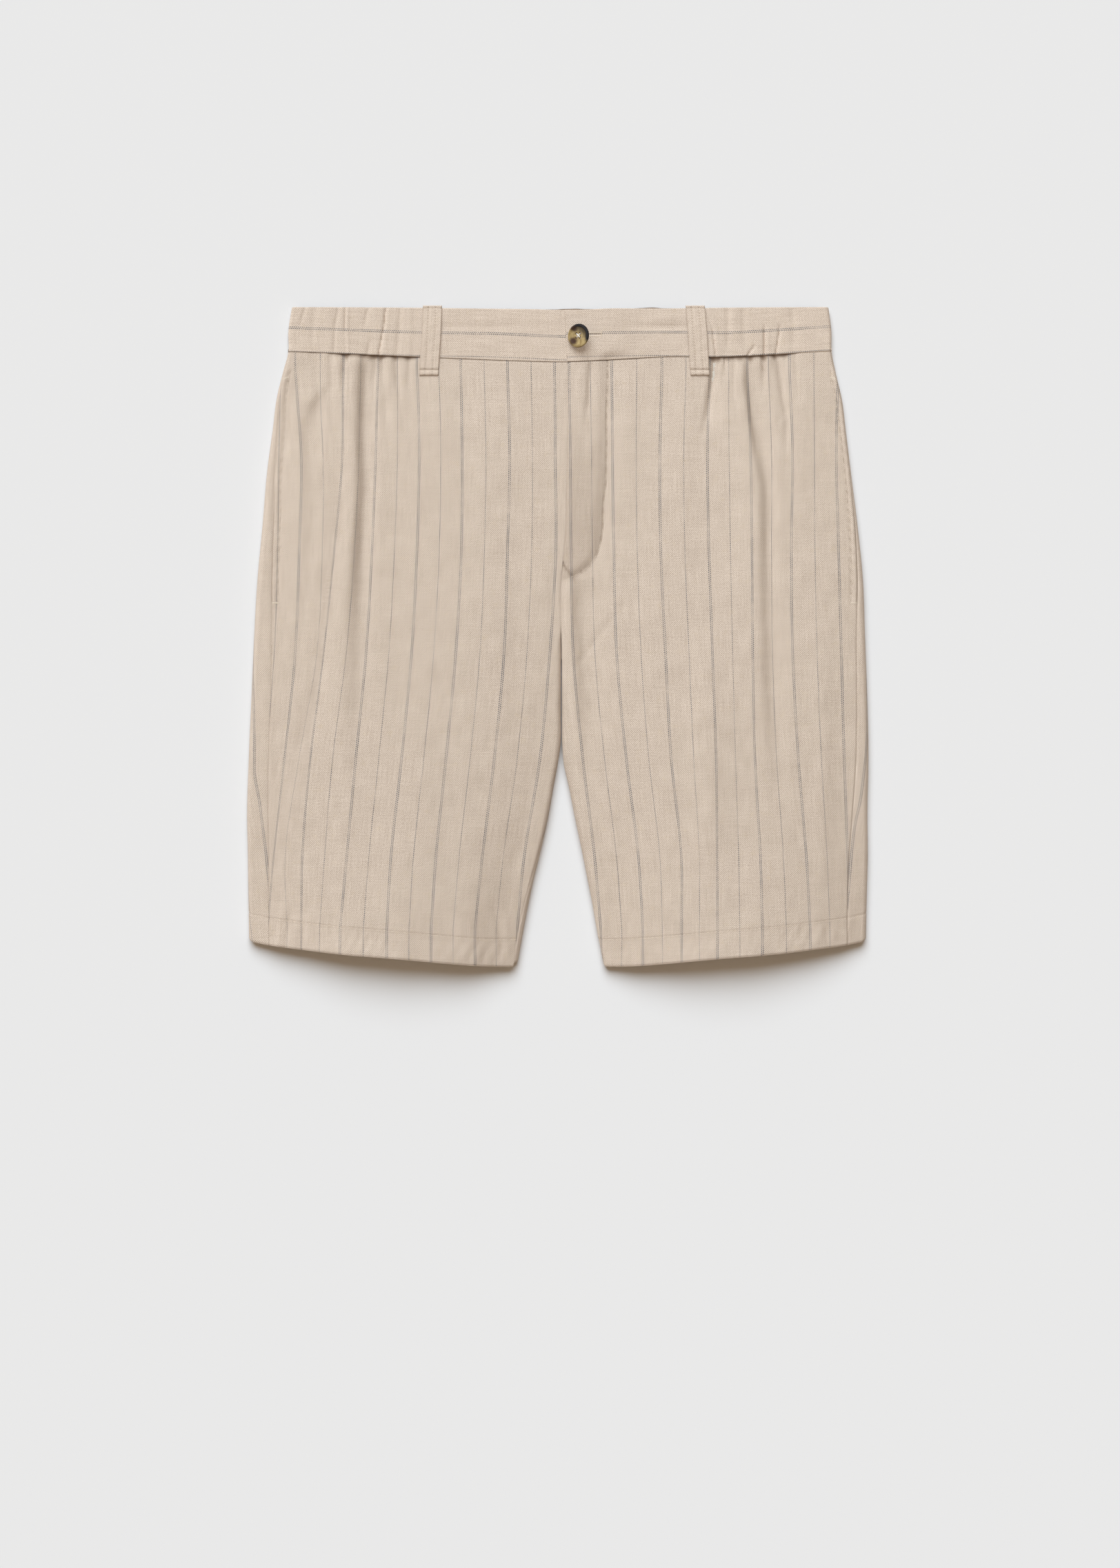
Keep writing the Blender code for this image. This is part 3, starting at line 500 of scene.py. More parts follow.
def placket_form(x, down):
    """How far the left front stands up over the fly's layers, and sinks along their stitching."""
    past = placket_past(x, down)
    trough = np.where(past < 0, np.exp(np.minimum(past, 0) / 9), bell(past, 9))
    deep = (0.5 + 0.5 * smoothstep(56, 78, down) * (1 - smoothstep(182, 198, down))) \
        * smoothstep(216, 204, down)
    rise = PLACKET_RISE * (1 - smoothstep(-PLACKET_EASE, 0.5, past)) - 0.8 * deep * trough
    return rise * smoothstep(-0.8, 0.8, past_notch(x, down)) * smoothstep(28, 38, down)


def hem_down(side, x):
    """The level of a leg's hem edge at each X."""
    return HEM.read("down", side * (SIDES.read(SIDE_NAMES[side] + "_fold", HEM_LEVEL) - x))


def lay_panel(side, along, column, row, hem_rise=0.0):
    """The section, path distance, X and Z of each place of a panel, from waist seam to hem."""
    waist, hem = (Half(side, np.full_like(column, level)) for level in (WAIST_LEVEL, HEM_LEVEL))
    top = WAIST_SEAM.read("down", waist.point(along(waist, column))[0]) - TUCK
    down = mix(top, hem_down(side, hem.point(along(hem, column))[0]), row)
    half = Half(side, down)
    under = smoothstep(half.front_end, half.back_start, along(half, column))
    half = Half(side, down - hem_rise * under * smoothstep(0.9, 1.0, row))
    distance = along(half, column)
    x, z = half.point(distance)
    below = half.down - top - TUCK
    pulled = gathered(x)
    drop = mix(FLAT_DROP, GATHERED_DROP, pulled) \
        * (1 - smoothstep(-TUCK, 1.8 + 2.6 * pulled, below)) \
        + 0.9 * notches(x) * bell(np.maximum(below, 0), 8)
    back_drop = BACK_DROP * (1 - smoothstep(-TUCK, 2.2, below))
    least_z = half.lift + back_drop + FRONT_CLEARANCE
    above_z = np.where(distance < half.front_end, np.maximum(z - drop, least_z), z - drop)
    return half, distance, x, np.where(under < 0.5, above_z, z + back_drop)


def cut_cloth(name, x, down, z, across, along, finish, thickness=CLOTH, relief=0.0, shade=0.0,
              faces_up=True, turned=None):
    """A sheet of cloth: a grid laid on the given places, and given its thickness inwards.

    across and along are the cloth's own coordinates, by which its weave and stripes run. relief
    stands out of the outer face, and shade is painted shade, which darkens it. The places marked in
    turned are as thick as the hem.
    """
    rows, columns = x.shape
    place = np.stack([x, TOP_Y - down, z], axis=-1)
    normal = np.cross(np.gradient(place, axis=1), np.gradient(place, axis=0))
    normal /= np.maximum(np.linalg.norm(normal, axis=-1, keepdims=True), 1e-9)
    if (normal[..., 2].mean() > 0) != faces_up:
        normal = -normal
    place = (place + normal * (np.zeros_like(x) + relief)[..., None]) * MM

    bpy.ops.mesh.primitive_grid_add(x_subdivisions=columns - 1, y_subdivisions=rows - 1, size=2.0,
                                    calc_uvs=False)
    piece = bpy.context.object
    piece.name = piece.data.name = name
    mesh = piece.data
    flat = np.empty(len(mesh.vertices) * 3)
    mesh.vertices.foreach_get("co", flat)
    flat = flat.reshape(-1, 3)
    column = np.rint((flat[:, 0] + 1) / 2 * (columns - 1)).astype(int)
    row = np.rint((flat[:, 1] + 1) / 2 * (rows - 1)).astype(int)
    mesh.vertices.foreach_set("co", place[row, column].ravel())
    corner = np.empty(len(mesh.loops), dtype=int)
    mesh.loops.foreach_get("vertex_index", corner)
    cloth_map = mesh.uv_layers.new(name="cloth")
    pattern = np.stack([across, along], axis=-1)[row, column]
    cloth_map.uv.foreach_set("vector", pattern[corner].astype(np.float32).ravel())
    shade_layer = mesh.attributes.new("shade", "FLOAT", "POINT")
    shade_layer.data.foreach_set("value", (np.zeros_like(x) + shade)[row, column].astype(np.float32))
    mesh.update()
    first = mesh.polygons[len(mesh.polygons) // 2]
    if first.normal.dot(Vector(normal[row, column][first.vertices[0]])) < 0:
        mesh.flip_normals()
    shell = piece.modifiers.new("thickness", "SOLIDIFY")
    shell.thickness = thickness * MM
    shell.offset = -1.0
    if turned is not None:
        group = piece.vertex_groups.new(name="turned")
        group.add([int(i) for i in np.flatnonzero(turned[row, column])], 1.0, "REPLACE")
        shell.vertex_group = "turned"
        shell.thickness = HEM_CLOTH * MM
        shell.thickness_vertex_group = thickness / HEM_CLOTH
    bpy.ops.object.modifier_apply(modifier=shell.name)
    bpy.ops.object.shade_smooth_by_angle(angle=math.radians(60))
    piece.data.materials.append(finish)
    piece.select_set(False)
    return piece


class Value:
    """A number that changes over a surface. Sums with it add Math nodes."""

    def __init__(self, finish, socket):
        self.finish = finish
        self.socket = socket

    def out(self, name):
        return Value(self.finish, self.socket.node.outputs[name])

    def work(self, operation, *others):
        return self.finish.node("ShaderNodeMath", {"operation": operation},
                                dict(enumerate((self, *others))))

    def __add__(self, other):
        return self.work("ADD", other)

    def __sub__(self, other):
        return self.work("SUBTRACT", other)

    def __mul__(self, other):
        return self.work("MULTIPLY", other)

    def __truediv__(self, other):
        return self.work("DIVIDE", other)

    def __rsub__(self, other):
        return self * -1.0 + other

    def __abs__(self):
        return self.work("ABSOLUTE")

    __radd__ = __add__
    __rmul__ = __mul__

    def step(self, low, high):
        """0 below low and 1 above high, or the other way round when low is the larger."""
        return self.finish.node("ShaderNodeMapRange", {"interpolation_type": "SMOOTHSTEP"},
                                {"Value": self, "From Min": low, "From Max": high})


class Finish:
    """A material and its nodes."""

    def __init__(self, name, roughness, **constants):
        self.material = bpy.data.materials.new(name)
        self.material.use_nodes = True
        self.nodes = self.material.node_tree.nodes
        self.links = self.material.node_tree.links
        self.surface = self.nodes["Principled BSDF"]
        self.surface.inputs["Roughness"].default_value = roughness
        for socket, value in constants.items():
            self.surface.inputs[socket.replace("_", " ")].default_value = value

    def node(self, kind, settings=None, inputs=None):
        made = self.nodes.new(kind)
        for name, value in (settings or {}).items():
            setattr(made, name, value)
        for name, value in (inputs or {}).items():
            self.feed(made.inputs[name], value)
        return Value(self, next(socket for socket in made.outputs if socket.enabled))

    def feed(self, socket, value):
        if isinstance(value, Value):
            self.links.new(value.socket, socket)
        else:
            socket.default_value = value

    def blend(self, share, first, second):
        return self.node("ShaderNodeMix", {"data_type": "RGBA"}, {0: share, 6: first, 7: second})

    def noise(self, place, scale, detail=2.0, distortion=0.0):
        """Cloudy values round 0."""
        return self.node("ShaderNodeTexNoise", {}, {
            "Vector": place, "Scale": scale, "Detail": detail, "Distortion": distortion}) - 0.5

    def stretched(self, place, *scale):
        return self.node("ShaderNodeVectorMath", {"operation": "MULTIPLY"}, {0: place, 1: scale})

    def raise_by(self, height, distance, strength):
        """Small relief, which stands out by the distance where the height is 1."""
        bump = self.node("ShaderNodeBump", {}, {"Height": height, "Distance": distance,
                                                "Strength": strength})
        self.feed(self.surface.inputs["Normal"], bump)


def make_twill(name, light=1.0, striped=1.0, shade_fall=0.0, first_stripe=None):
    """Dotted slate stripes, double and single by turns, on a beige twill with slubs.

    Past 200 mm along the cloth, painted shade lowers its tone by the given share for each
    millimetre, for light that falls off towards the hems. No stripe lies before first_stripe across
    the cloth.
    """
    twill = Finish(name, 0.88, Sheen_Weight=0.1, Sheen_Roughness=0.45, Specular_IOR_Level=0.2)
    place = twill.node("ShaderNodeUVMap", {"uv_map": "cloth"})
    parts = twill.node("ShaderNodeSeparateXYZ", {}, {"Vector": place})
    across, along = parts.out("X"), parts.out("Y")

    wander = twill.noise(place, 0.13, 2.0)      # no yarn runs quite straight
    line = ((across * 0.97 + along) * (2 * math.pi / DIAGONAL) + wander * 2.6).work("SINE")
    clear = (twill.noise(place, 0.075, 3.0) * 2.6 + 0.7).step(0.05, 1.05) * 0.8 + 0.3
    warp_slubs = twill.noise(twill.stretched(place, 1.1, 0.04, 1), 1.0, 2.0)
    weft_slubs = twill.noise(twill.stretched(place, 0.035, 1.2, 1), 1.0, 2.0)
    clouds = twill.noise(place, 0.085, 4.0)
    fuzz = twill.noise(place, 1.2, 2.0)
    # The shade attribute carries painted shade for folds, gathers, seams and stitching: it lowers
    # the tone, and past 0.4 it blends towards a brown of painted shade.
    shade = twill.node("ShaderNodeAttribute", {"attribute_name": "shade"}).out("Fac")
    tone = line * clear * 0.29 + warp_slubs * 0.42 + weft_slubs * 0.28 + clouds * 0.16 \
        + fuzz * 1.1 + 0.5 - shade
    # Painted shade: the cloth grows darker towards the hems, for light falling off down the legs.
    if shade_fall:
        tone = tone - (along - 200.0).work("MAXIMUM", 0.0) * shade_fall
    ground = twill.blend(tone, tuple(c * light for c in TWILL_DARK[:3]) + (1,),
                         tuple(c * light for c in TWILL_LIGHT[:3]) + (1,))
    ground = twill.blend(twill.noise(place, 0.16, 3.0).step(0.05, 0.3) * 0.20, ground, TWILL_TAN)
    ground = twill.blend(twill.noise(place, 0.31, 2.0).step(0.12, 0.3) * 0.22, ground, TWILL_MAUVE)
    ground = twill.blend((shade - 0.4).work("MAXIMUM", 0.0).work("MINIMUM", 0.9), ground, PAINTED_SHADE_BROWN)

    number = (across / STRIPE_PITCH).work("ROUND")
    aside = across - number * STRIPE_PITCH
    double = 1.0 - number.work("PINGPONG", 1.0)         # 1 on double stripes, 0 on single ones
    yarn = abs(abs(aside) - double * DOUBLE_SPREAD).step(0.52, 0.14)
    stagger = aside.step(-0.02, 0.02) * double * math.pi
    turn = along * (2 * math.pi / DOT_PITCH) + stagger + number * 2.3 + wander * 1.5
    dots = turn.work("SINE").step(-0.35, 0.6)
    by_stripe = twill.node("ShaderNodeCombineXYZ", {}, {"X": number * 7.31, "Y": along})
    worn = twill.noise(twill.stretched(by_stripe, 1, 0.036, 1), 1.0, 2.0) * 1.5 \
        + twill.noise(twill.stretched(by_stripe, 1, 0.26, 1), 1.0, 1.0) * 0.9 + 0.86
    stripe = yarn * (dots * 0.84 + 0.16) * (double * 0.14 + 0.84) * worn * striped
    if first_stripe is not None:
        stripe = stripe * across.step(first_stripe - 0.5, first_stripe)
    colour = twill.blend(stripe, ground, SLATE)
    twill.feed(twill.surface.inputs["Base Color"], colour)
    twill.raise_by(line * 0.5 + warp_slubs + weft_slubs + fuzz * 0.7, 0.00012, 0.4)
    return twill.material


def stripe_place(side, x, down):
    """The cloth's own coordinate across the stripes at a place on a front."""
    table = STRIPES[side]
    out = side * x
    lines = [side * table.read(name, down) for name in table.names]
    numbers = [int(name) for name in table.names]
    total = np.minimum(out - lines[0], 0) + np.maximum(out - lines[-1], 0)
    for i in range(len(lines) - 1):
        share = np.clip((out - lines[i]) / (lines[i + 1] - lines[i]), 0, 1)
        total = total + share * (numbers[i + 1] - numbers[i]) * STRIPE_PITCH
    return side * total


striped_twill = make_twill("striped_twill", shade_fall=0.0003)

FRONT_COLUMNS = {RIGHT: stations(184, (0.0, 1.0), 4.0), LEFT: stations(184, (0.0, 0.13, 1.0), 4.0)}
FRONT_ROWS = stations(224, (0.0, 0.952, 1.0), 4.0, 0.009)
POCKET_TOP, POCKET_FOOT = 50.0, 232.5
POCKET_STITCH = 5.0         # the topstitching's distance from the pocket mouth
PUCKER = 7.9                # the pitch of the small puckers along that stitching
HEM_PUCKER, HEM_RIPPLE = 5.3, 9.4       # and of those along the hem's, and of its ripples
FLY_STITCH, FLY_DIMPLE = 3.1, 6.7       # the pitch at which the placket's stitching shows
fronts = {}


def pocket_mouth(down):
    """1 along the pocket mouths, and 0 above and below them."""
    return smoothstep(POCKET_TOP - 2, POCKET_TOP + 2, down) \
        * (1 - smoothstep(POCKET_FOOT - 2, POCKET_FOOT + 2, down))


def hem_relief(side, x, down, to_hem):
    """A front hem's rounded edge, sunk stitching and ripples, and how its edge curls up."""
    puckers = 1 + 0.4 * np.sin(x * 2 * math.pi / HEM_PUCKER + 1.2 * np.sin(x / 9))
    ripples = (0.12 + 0.08 * np.sin(x / 13.7)) \
        * np.sin(x * 2 * math.pi / HEM_RIPPLE + down / 3.1 + 3.1 * np.sin(x / 23))
    curl = 0.45 + 0.3 * np.sin(x / 17 + 1.3 * side) + 0.2 * np.sin(x / 7.1)
    return ripples * bell(to_hem - HEM_DEPTH / 2, 9) + curl * smoothstep(17, 3, to_hem) \
        - EDGE_FALL * bell(np.maximum(to_hem, 0), EDGE_WIDTH) \
        - 0.34 * bell(to_hem - HEM_DEPTH, 0.9) * puckers


def waist_shade(x, below):
    """Painted shade on the cloth under the waistband, by the distance below the seam."""
    pull = notches(x)
    return gathered(x) * (0.55 + 0.7 * pull) * bell(np.maximum(below - 1.2, 0), 1.8 + 1.4 * pull) \
        + 0.75 * bell(below - 0.3, 0.8)


def placket_sewing(x, down):
    """Relief and painted shade on the placket: along its stitching, its slanting end and its
    crease.
    """
    past, slant = placket_past(x, down), past_notch(x, down)
    on_placket = smoothstep(PLACKET_END, PLACKET_END - 3, down)
    on_slant = smoothstep(1.5, 3.5, x) * smoothstep(15.5, 13, x) * smoothstep(190, 198, down)
    crease_x = np.interp(down, [46, 90], [24.6, 22.6])
    dimples = 1 + 0.5 * np.sin(down * 2 * math.pi / FLY_DIMPLE)
    relief = -0.32 * on_placket * bell(past, 0.9) * dimples - 0.6 * on_slant * bell(slant, 0.8)
    # Painted shade over the lower placket, partly for its layers of cloth, which let less light
    # through, and partly for shade where it turns from the light.
    lower_placket_shade = smoothstep(70, 130, down) * 0.13 + smoothstep(130, 165, down) * 0.05
    stitches = 1 + 0.5 * np.sin(down * 2 * math.pi / FLY_STITCH)
    shade = on_placket * smoothstep(0.6, -1.5, past) * lower_placket_shade \
        + 0.35 * on_slant * bell(slant + 0.4, 0.9) * (1 + 0.4 * np.sin(x * 4.1)) \
        + 0.42 * on_placket * bell(past, 0.75) * stitches \
        + 0.3 * bell(x - crease_x, 0.8) * smoothstep(92, 70, down)
    return relief, shade


for side in (RIGHT, LEFT):
    def front_along(half, column):
        start = half.inseam() + SEAM_SLIT / 2
        if side == RIGHT:
            start = start - (FLY_UNDERLAP + SEAM_SLIT) * (1 - smoothstep(*UNDERLAP_FADE, half.down))
        return mix(start, half.side_seam() - SEAM_SLIT / 2, column)

    column, row = np.meshgrid(FRONT_COLUMNS[side], FRONT_ROWS)
    half, distance, x, z = lay_panel(side, front_along, column, row)
    down = half.down
    from_side = half.side_seam() - distance
    from_centre = distance - half.inseam()
    to_hem = hem_down(side, x) - down
    mouth = pocket_mouth(down)
    puckers = np.sin(2 * math.pi * down / PUCKER + 0.9 * np.sin(down / 13))
    below_fly = smoothstep(*FLY_FOOT, down)
    relief = hem_relief(side, x, down, to_hem) \
        - mix(SEAM_SINK, 0.45, mouth) * bell(from_side, SEAM_WIDTH) \
        + mouth * (0.5 * bell(from_side - 1.9, 1.9) + 0.24 * puckers * bell(from_side - 2.8, 2.2)) \
        - mouth * 0.36 * bell(from_side - POCKET_STITCH, 0.9) * (1 + 0.5 * puckers) \
        - 0.28 * below_fly * bell(from_centre, SEAM_WIDTH)
    # Painted shade in the folds and the gathers under the waistband, and painted lines of shade
    # along the pocket stitching, the side seam and the hem's stitching.
    shade = creases(FOLD_SHADE, x, down) + waist_shade(x, down - WAIST_SEAM.read("down", x)) \
        + mouth * 0.22 * bell(from_side - POCKET_STITCH, 0.7) * (1 + puckers) \
        + (0.26 + 0.3 * mouth * smoothstep(130, 190, down)) * bell(from_side, 0.9) \
        + 0.16 * bell(to_hem - HEM_DEPTH + 0.9, 0.7)
    if side == LEFT:
        z = z + placket_form(x, down)
        placket_relief, placket_shade = placket_sewing(x, down)
        relief = relief + placket_relief - EDGE_FALL * (1 - below_fly) * bell(from_centre, 1.0)
        # Painted shade along the fly edge as well.
        shade = shade + placket_shade + 0.12 * bell(from_centre, 1.2)
    flat_x = half.inner_centre + side * (distance - half.inner_arc)
    name = "front_" + SIDE_NAMES[side]
    front = cut_cloth(name + "_cloth", x, down, z, stripe_place(side, flat_x, down), down,
                      striped_twill, relief=relief, shade=shade, turned=to_hem < HEM_DEPTH)
    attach(front, "root")
    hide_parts(name + "_hip", name + "_leg")
    fronts[side] = front


# ---------------------------------------------------------------- backs
# Two backs of the same twill. Each wraps forward round the side fold to the side seam, so that a
# strip of it shows beside the front, and lies flat underneath. Its top is gathered by the elastic.

# How far past the start of the side fold the backs' first double stripe runs, by level.
BACK_STRIPES = Table("down right left", [
    (40, 15, 15), (150, 12, 12), (250, 8, 8), (273, 6, 7), (300, 3.5, 5.5), (322, 1.6, 4.5),
    (354, -0.2, 2), (365, -0.7, 0.8), (387, -5.2, -1.5), (408, -8.0, -6), (430, -10.2, -8.8),
    (451, -12.1, -10.0), (520, -19, -16),
])
BACK_FOLDS = [
    Fold("right seat gather", [(40, -150), (120, -146), (200, -150)],
         6.0, 1.3, (36, 60), (140, 210)),
    Fold("right seat ripple", [(40, -92), (120, -96), (180, -94)], 5.0, 1.0, (36, 60), (100, 180)),
    Fold("right seat crease", [(40, -48), (90, -52), (150, -50)], 4.5, 0.9, (36, 60), (90, 150)),
    Fold("right thigh crease", [(280, -60), (340, -96), (400, -120)],
         6.0, 0.8, (270, 310), (350, 410)),
    Fold("right long crease", [(200, -176), (330, -182), (440, -178)],
         7.0, 0.9, (190, 260), (360, 440)),
    Fold("left seat gather", [(40, 142), (120, 146), (200, 143)], 6.0, 1.2, (36, 60), (140, 210)),
    Fold("left seat ripple", [(40, 84), (120, 80), (180, 83)], 5.0, 1.1, (36, 60), (110, 180)),
    Fold("left seat crease", [(40, 40), (90, 43), (150, 40)], 4.5, 0.8, (36, 60), (90, 150)),
    Fold("left thigh crease", [(290, 58), (350, 88), (410, 130)], 6.0, 0.8, (280, 320), (360, 420)),
    Fold("left long crease", [(190, 182), (330, 176), (450, 184)],
         7.0, 0.8, (180, 260), (350, 440)),
]
SEAT_GATHERS = (11.3, 0.6)      # pitch and height of the gathers under the elastic
BACK_MARKS = (0, 8, 26, 84, 100)        # columns at the seam, the fold's ends and the inner fold
BACK_ROWS = stations(170, (0.0, 0.952, 1.0), 4.0, 0.008)
backs = {}


def back_rise(x, down):
    """How far folds and gathers hold the flat part of the backs off the surface."""
    pitch, height = SEAT_GATHERS
    waves = 0.5 + 0.5 * np.sin(x * 2 * math.pi / pitch + 1.6 * np.sin(x / 17))
    return creases(BACK_FOLDS, x, down) + height * (1 - smoothstep(44, 110, down)) * waves


for side in (RIGHT, LEFT):
    def back_along(half, column):
        start = half.side_seam() + SEAM_SLIT / 2
        end = half.length + half.inseam() - SEAM_SLIT / 2
        fold_start = np.maximum(half.front_end, mix(start, half.back_start, 0.1))
        inner_start = end - np.maximum(half.inner_arc + half.inseam(), 3.0)
        places = [start, fold_start, half.back_start, inner_start, end]
        total = start
        for i in range(len(places) - 1):
            share = np.clip((column - BACK_MARKS[i]) / (BACK_MARKS[i + 1] - BACK_MARKS[i]), 0, 1)
            total = total + share * (places[i + 1] - places[i])
        return total

    column, row = np.meshgrid(np.arange(BACK_MARKS[-1] + 1.0), BACK_ROWS)
    half, distance, x, z = lay_panel(side, back_along, column, row, BACK_HEM_RISE)
    down = half.down
    back_end = half.back_start + half.width
    under = smoothstep(half.front_end, half.back_start + 6, distance) \
        * (1 - smoothstep(back_end - 8, back_end, distance))
    z = z + under * back_rise(x, down)
    from_side = distance - half.side_seam()
    from_inseam = half.length + half.inseam() - distance
    rise = BACK_HEM_RISE * smoothstep(half.front_end, half.back_start, distance)
    to_hem = hem_down(side, x) - down - rise
    shown = 1 - smoothstep(half.back_start - 4, half.back_start, distance)
    relief = -SEAM_SINK * bell(from_side, SEAM_WIDTH) \
        - 0.3 * pocket_mouth(down) * bell(from_side, 2.0) - 0.3 * bell(from_inseam, SEAM_WIDTH) \
        - 0.25 * bell(from_inseam - 2.2, 0.6) * smoothstep(452, 462, down) \
        - EDGE_FALL * bell(np.maximum(to_hem, 0), EDGE_WIDTH) \
        - 0.3 * shown * bell(to_hem - HEM_DEPTH, 0.9)
    stripes = side * (distance - half.front_end - BACK_STRIPES.read(SIDE_NAMES[side], down))
    name = "back_" + SIDE_NAMES[side]
    back = cut_cloth(name + "_cloth", x, down, z, stripes, down, striped_twill, relief=relief,
                     faces_up=False, turned=to_hem < HEM_DEPTH)
    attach(back, "root")
    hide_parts(name + "_hip", name + "_leg")
    backs[side] = back


# ---------------------------------------------------------------- pocket bags
# Two bags of plain cotton pocketing, hung inside the side seams and pressed flat on the backs. Each
# is two layers, closed round its curved edge.

POCKETING, POCKETING_DARK = (0.76, 0.71, 0.63, 1.0), (0.62, 0.57, 0.49, 1.0)
# How far inside the side fold a bag's outer and inner edge lie, by level.
POCKET_BAG = Table("down outer inner", [(44, 10, 128), (100, 8, 134), (200, 8, 138), (240, 12, 136),
                                        (275, 26, 124), (292, 46, 104)])
POCKET_WALL = 1.0           # both layers
BAG_WAVE = 0.12
BAG_COLUMNS, BAG_ROWS = stations(40, (0.0, 1.0), 3.0, 0.02), stations(70, (0.0, 1.0), 3.0, 0.02)

pocketing = Finish("pocketing", 0.9, Sheen_Weight=0.05, Specular_IOR_Level=0.2)
place = pocketing.node("ShaderNodeUVMap", {"uv_map": "cloth"})
threads = pocketing.noise(pocketing.stretched(place, 2.2, 0.25, 1), 1.0) \
    + pocketing.noise(pocketing.stretched(place, 0.25, 2.2, 1), 1.0)
pocketing.feed(pocketing.surface.inputs["Base Color"],
               pocketing.blend(threads * 0.8 + 0.3, POCKETING, POCKETING_DARK))
pocketing.raise_by(threads, 0.0001, 0.4)

for side in (RIGHT, LEFT):
    column, row = np.meshgrid(BAG_COLUMNS, BAG_ROWS)
    down = mix(POCKET_BAG.at[0], POCKET_BAG.at[-1], row)
    inwards = mix(POCKET_BAG.read("outer", down), POCKET_BAG.read("inner", down), column)
    x = SIDES.read(SIDE_NAMES[side] + "_fold", down) - side * inwards
    z = Half(side, down).lift + back_rise(x, down) + CLOTH + GAP + POCKET_WALL \
        + BAG_WAVE * np.sin(x / 5 + down / 9) * np.sin(down / 13)
    name = "pocket_" + SIDE_NAMES[side]
    bag = cut_cloth(name + "_bag", x, down, z, x, down, pocketing.material,
                    thickness=POCKET_WALL)
    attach(bag, "root")
    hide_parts(name)


# ---------------------------------------------------------------- waistband
# A band of the same twill cut crosswise, so that its stripes run round the waist, doubled over
# interfacing. Between the front loops it lies flat, with the buttonhole end over the button end;
# from loop to loop round the back it holds elastic, which draws it into gathers.

BAND = 1.6                  # two layers and the interfacing
RIGHT_LOOP_X, LEFT_LOOP_X = -99.1, 109.9
BUTTON_END_X = 33.0
OVERLAP_RISE = 2.1
OVERLAP_EASE = (40.0, 72.0)
END_SLANT = 1.8             # the buttonhole end leans over by so much at the seam
BAND_OVERHANG = 0.4         # the band's lower edge covers the tops of the panels
BAND_EDGE = 0.8             # radius of the band's top edge
GATHER_PITCH, GATHER_RISE = 11.5, 0.8

# The level of the band's double stripe, by X.
BAND_STRIPES = Table("x right left", [
    (-212, 16.3, 16.3), (-107, 20.0, 20.0), (-40, 21.4, 21), (5, 23.4, 21.5),
    (36, 24.0, 20.6), (103, 24.0, 20.0), (120, 20.3, 20.3), (214, 15.5, 15.5),
])
BAND_CREASES = [
    Fold("right end crease", [(0, -197.5), (14, -201.8), (20, -203)],
         1.6, -0.63, (-2, 0), (10, 18)),
    Fold("right short crease", [(0, -190), (20, -192), (38, -193)], 2.6, -0.45, (-2, 2), (24, 36)),
    Fold("right crease", [(0, -171.6), (14, -174.2), (38, -175.4)], 1.5, -0.8, (-2, 0), (30, 44)),
    Fold("right step", [(0, -164.2), (16, -164.6), (40, -164.4)], 1.5, 0.55, (-2, 0), (60, 70)),
    Fold("right step edge", [(0, -166.6), (16, -166.8), (40, -166.2)],
         0.8, -0.8, (-2, 0), (60, 70)),
    Fold("right soft crease", [(0, -148), (10, -150.5), (20, -151)], 1.6, -0.8, (-2, 0), (8, 20)),
    Fold("right deep crease", [(0, -134.4), (16, -136.1), (36, -139.8)],
         1.0, -1.5, (-2, 0), (60, 70)),
    Fold("right deep ridge", [(0, -131.6), (16, -133.2), (36, -136.6)],
         1.8, 0.2, (-2, 0), (60, 70)),
    Fold("right pinch", [(24, -147), (40, -149)], 2.0, -1.08, (22, 34), (60, 70)),
    Fold("right loop crease", [(0, -123), (20, -124.4), (40, -126)], 2.6, -0.81, (-2, 2), (60, 70)),
    Fold("right loop ridge", [(0, -115), (20, -116), (40, -117)], 3.0, 0.4, (-2, 2), (60, 70)),
    Fold("left loop crease", [(0, 115.6), (16, 121.4), (38, 124.4)], 1.1, -1.26, (-2, 0), (60, 70)),
    Fold("left loop ridge", [(0, 118.4), (16, 124), (38, 127)], 1.6, 0.4, (-2, 0), (60, 70)),
    Fold("left crease", [(0, 133.6), (20, 134), (40, 133)], 3.0, -0.81, (-2, 2), (26, 40)),
    Fold("left wave", [(0, 146), (20, 146.5), (40, 147)], 3.2, -0.63, (-2, 2), (20, 38)),
    Fold("left slant", [(30, 155), (40, 148)], 1.2, -1.26, (28, 34), (60, 70)),
    Fold("left low crease", [(14, 162.2), (40, 162.1)], 1.1, -1.62, (12, 20), (60, 70)),
    Fold("left low ridge", [(14, 165), (40, 165)], 1.8, 0.3, (12, 20), (60, 70)),
    Fold("left end crease", [(12, 174.4), (20, 174), (38, 171.2)], 1.1, -1.44, (12, 18), (60, 70)),
    Fold("left end wave", [(0, 184.5), (20, 185), (40, 185)], 3.4, -0.63, (-2, 2), (24, 40)),
]
# The flat stretch is stiff, and bows a little: X and level, half widths along and down, and height.
BAND_PULLS = [(-60, 15.5, 34, 2.6, -0.45), (-20, 9, 22, 4, 0.2), (84, 15.6, 20, 2.4, -0.7),
              (80, 9, 24, 4.0, 0.35), (50, 30, 30, 5, 0.2), (-50, 30, 34, 5, 0.2)]

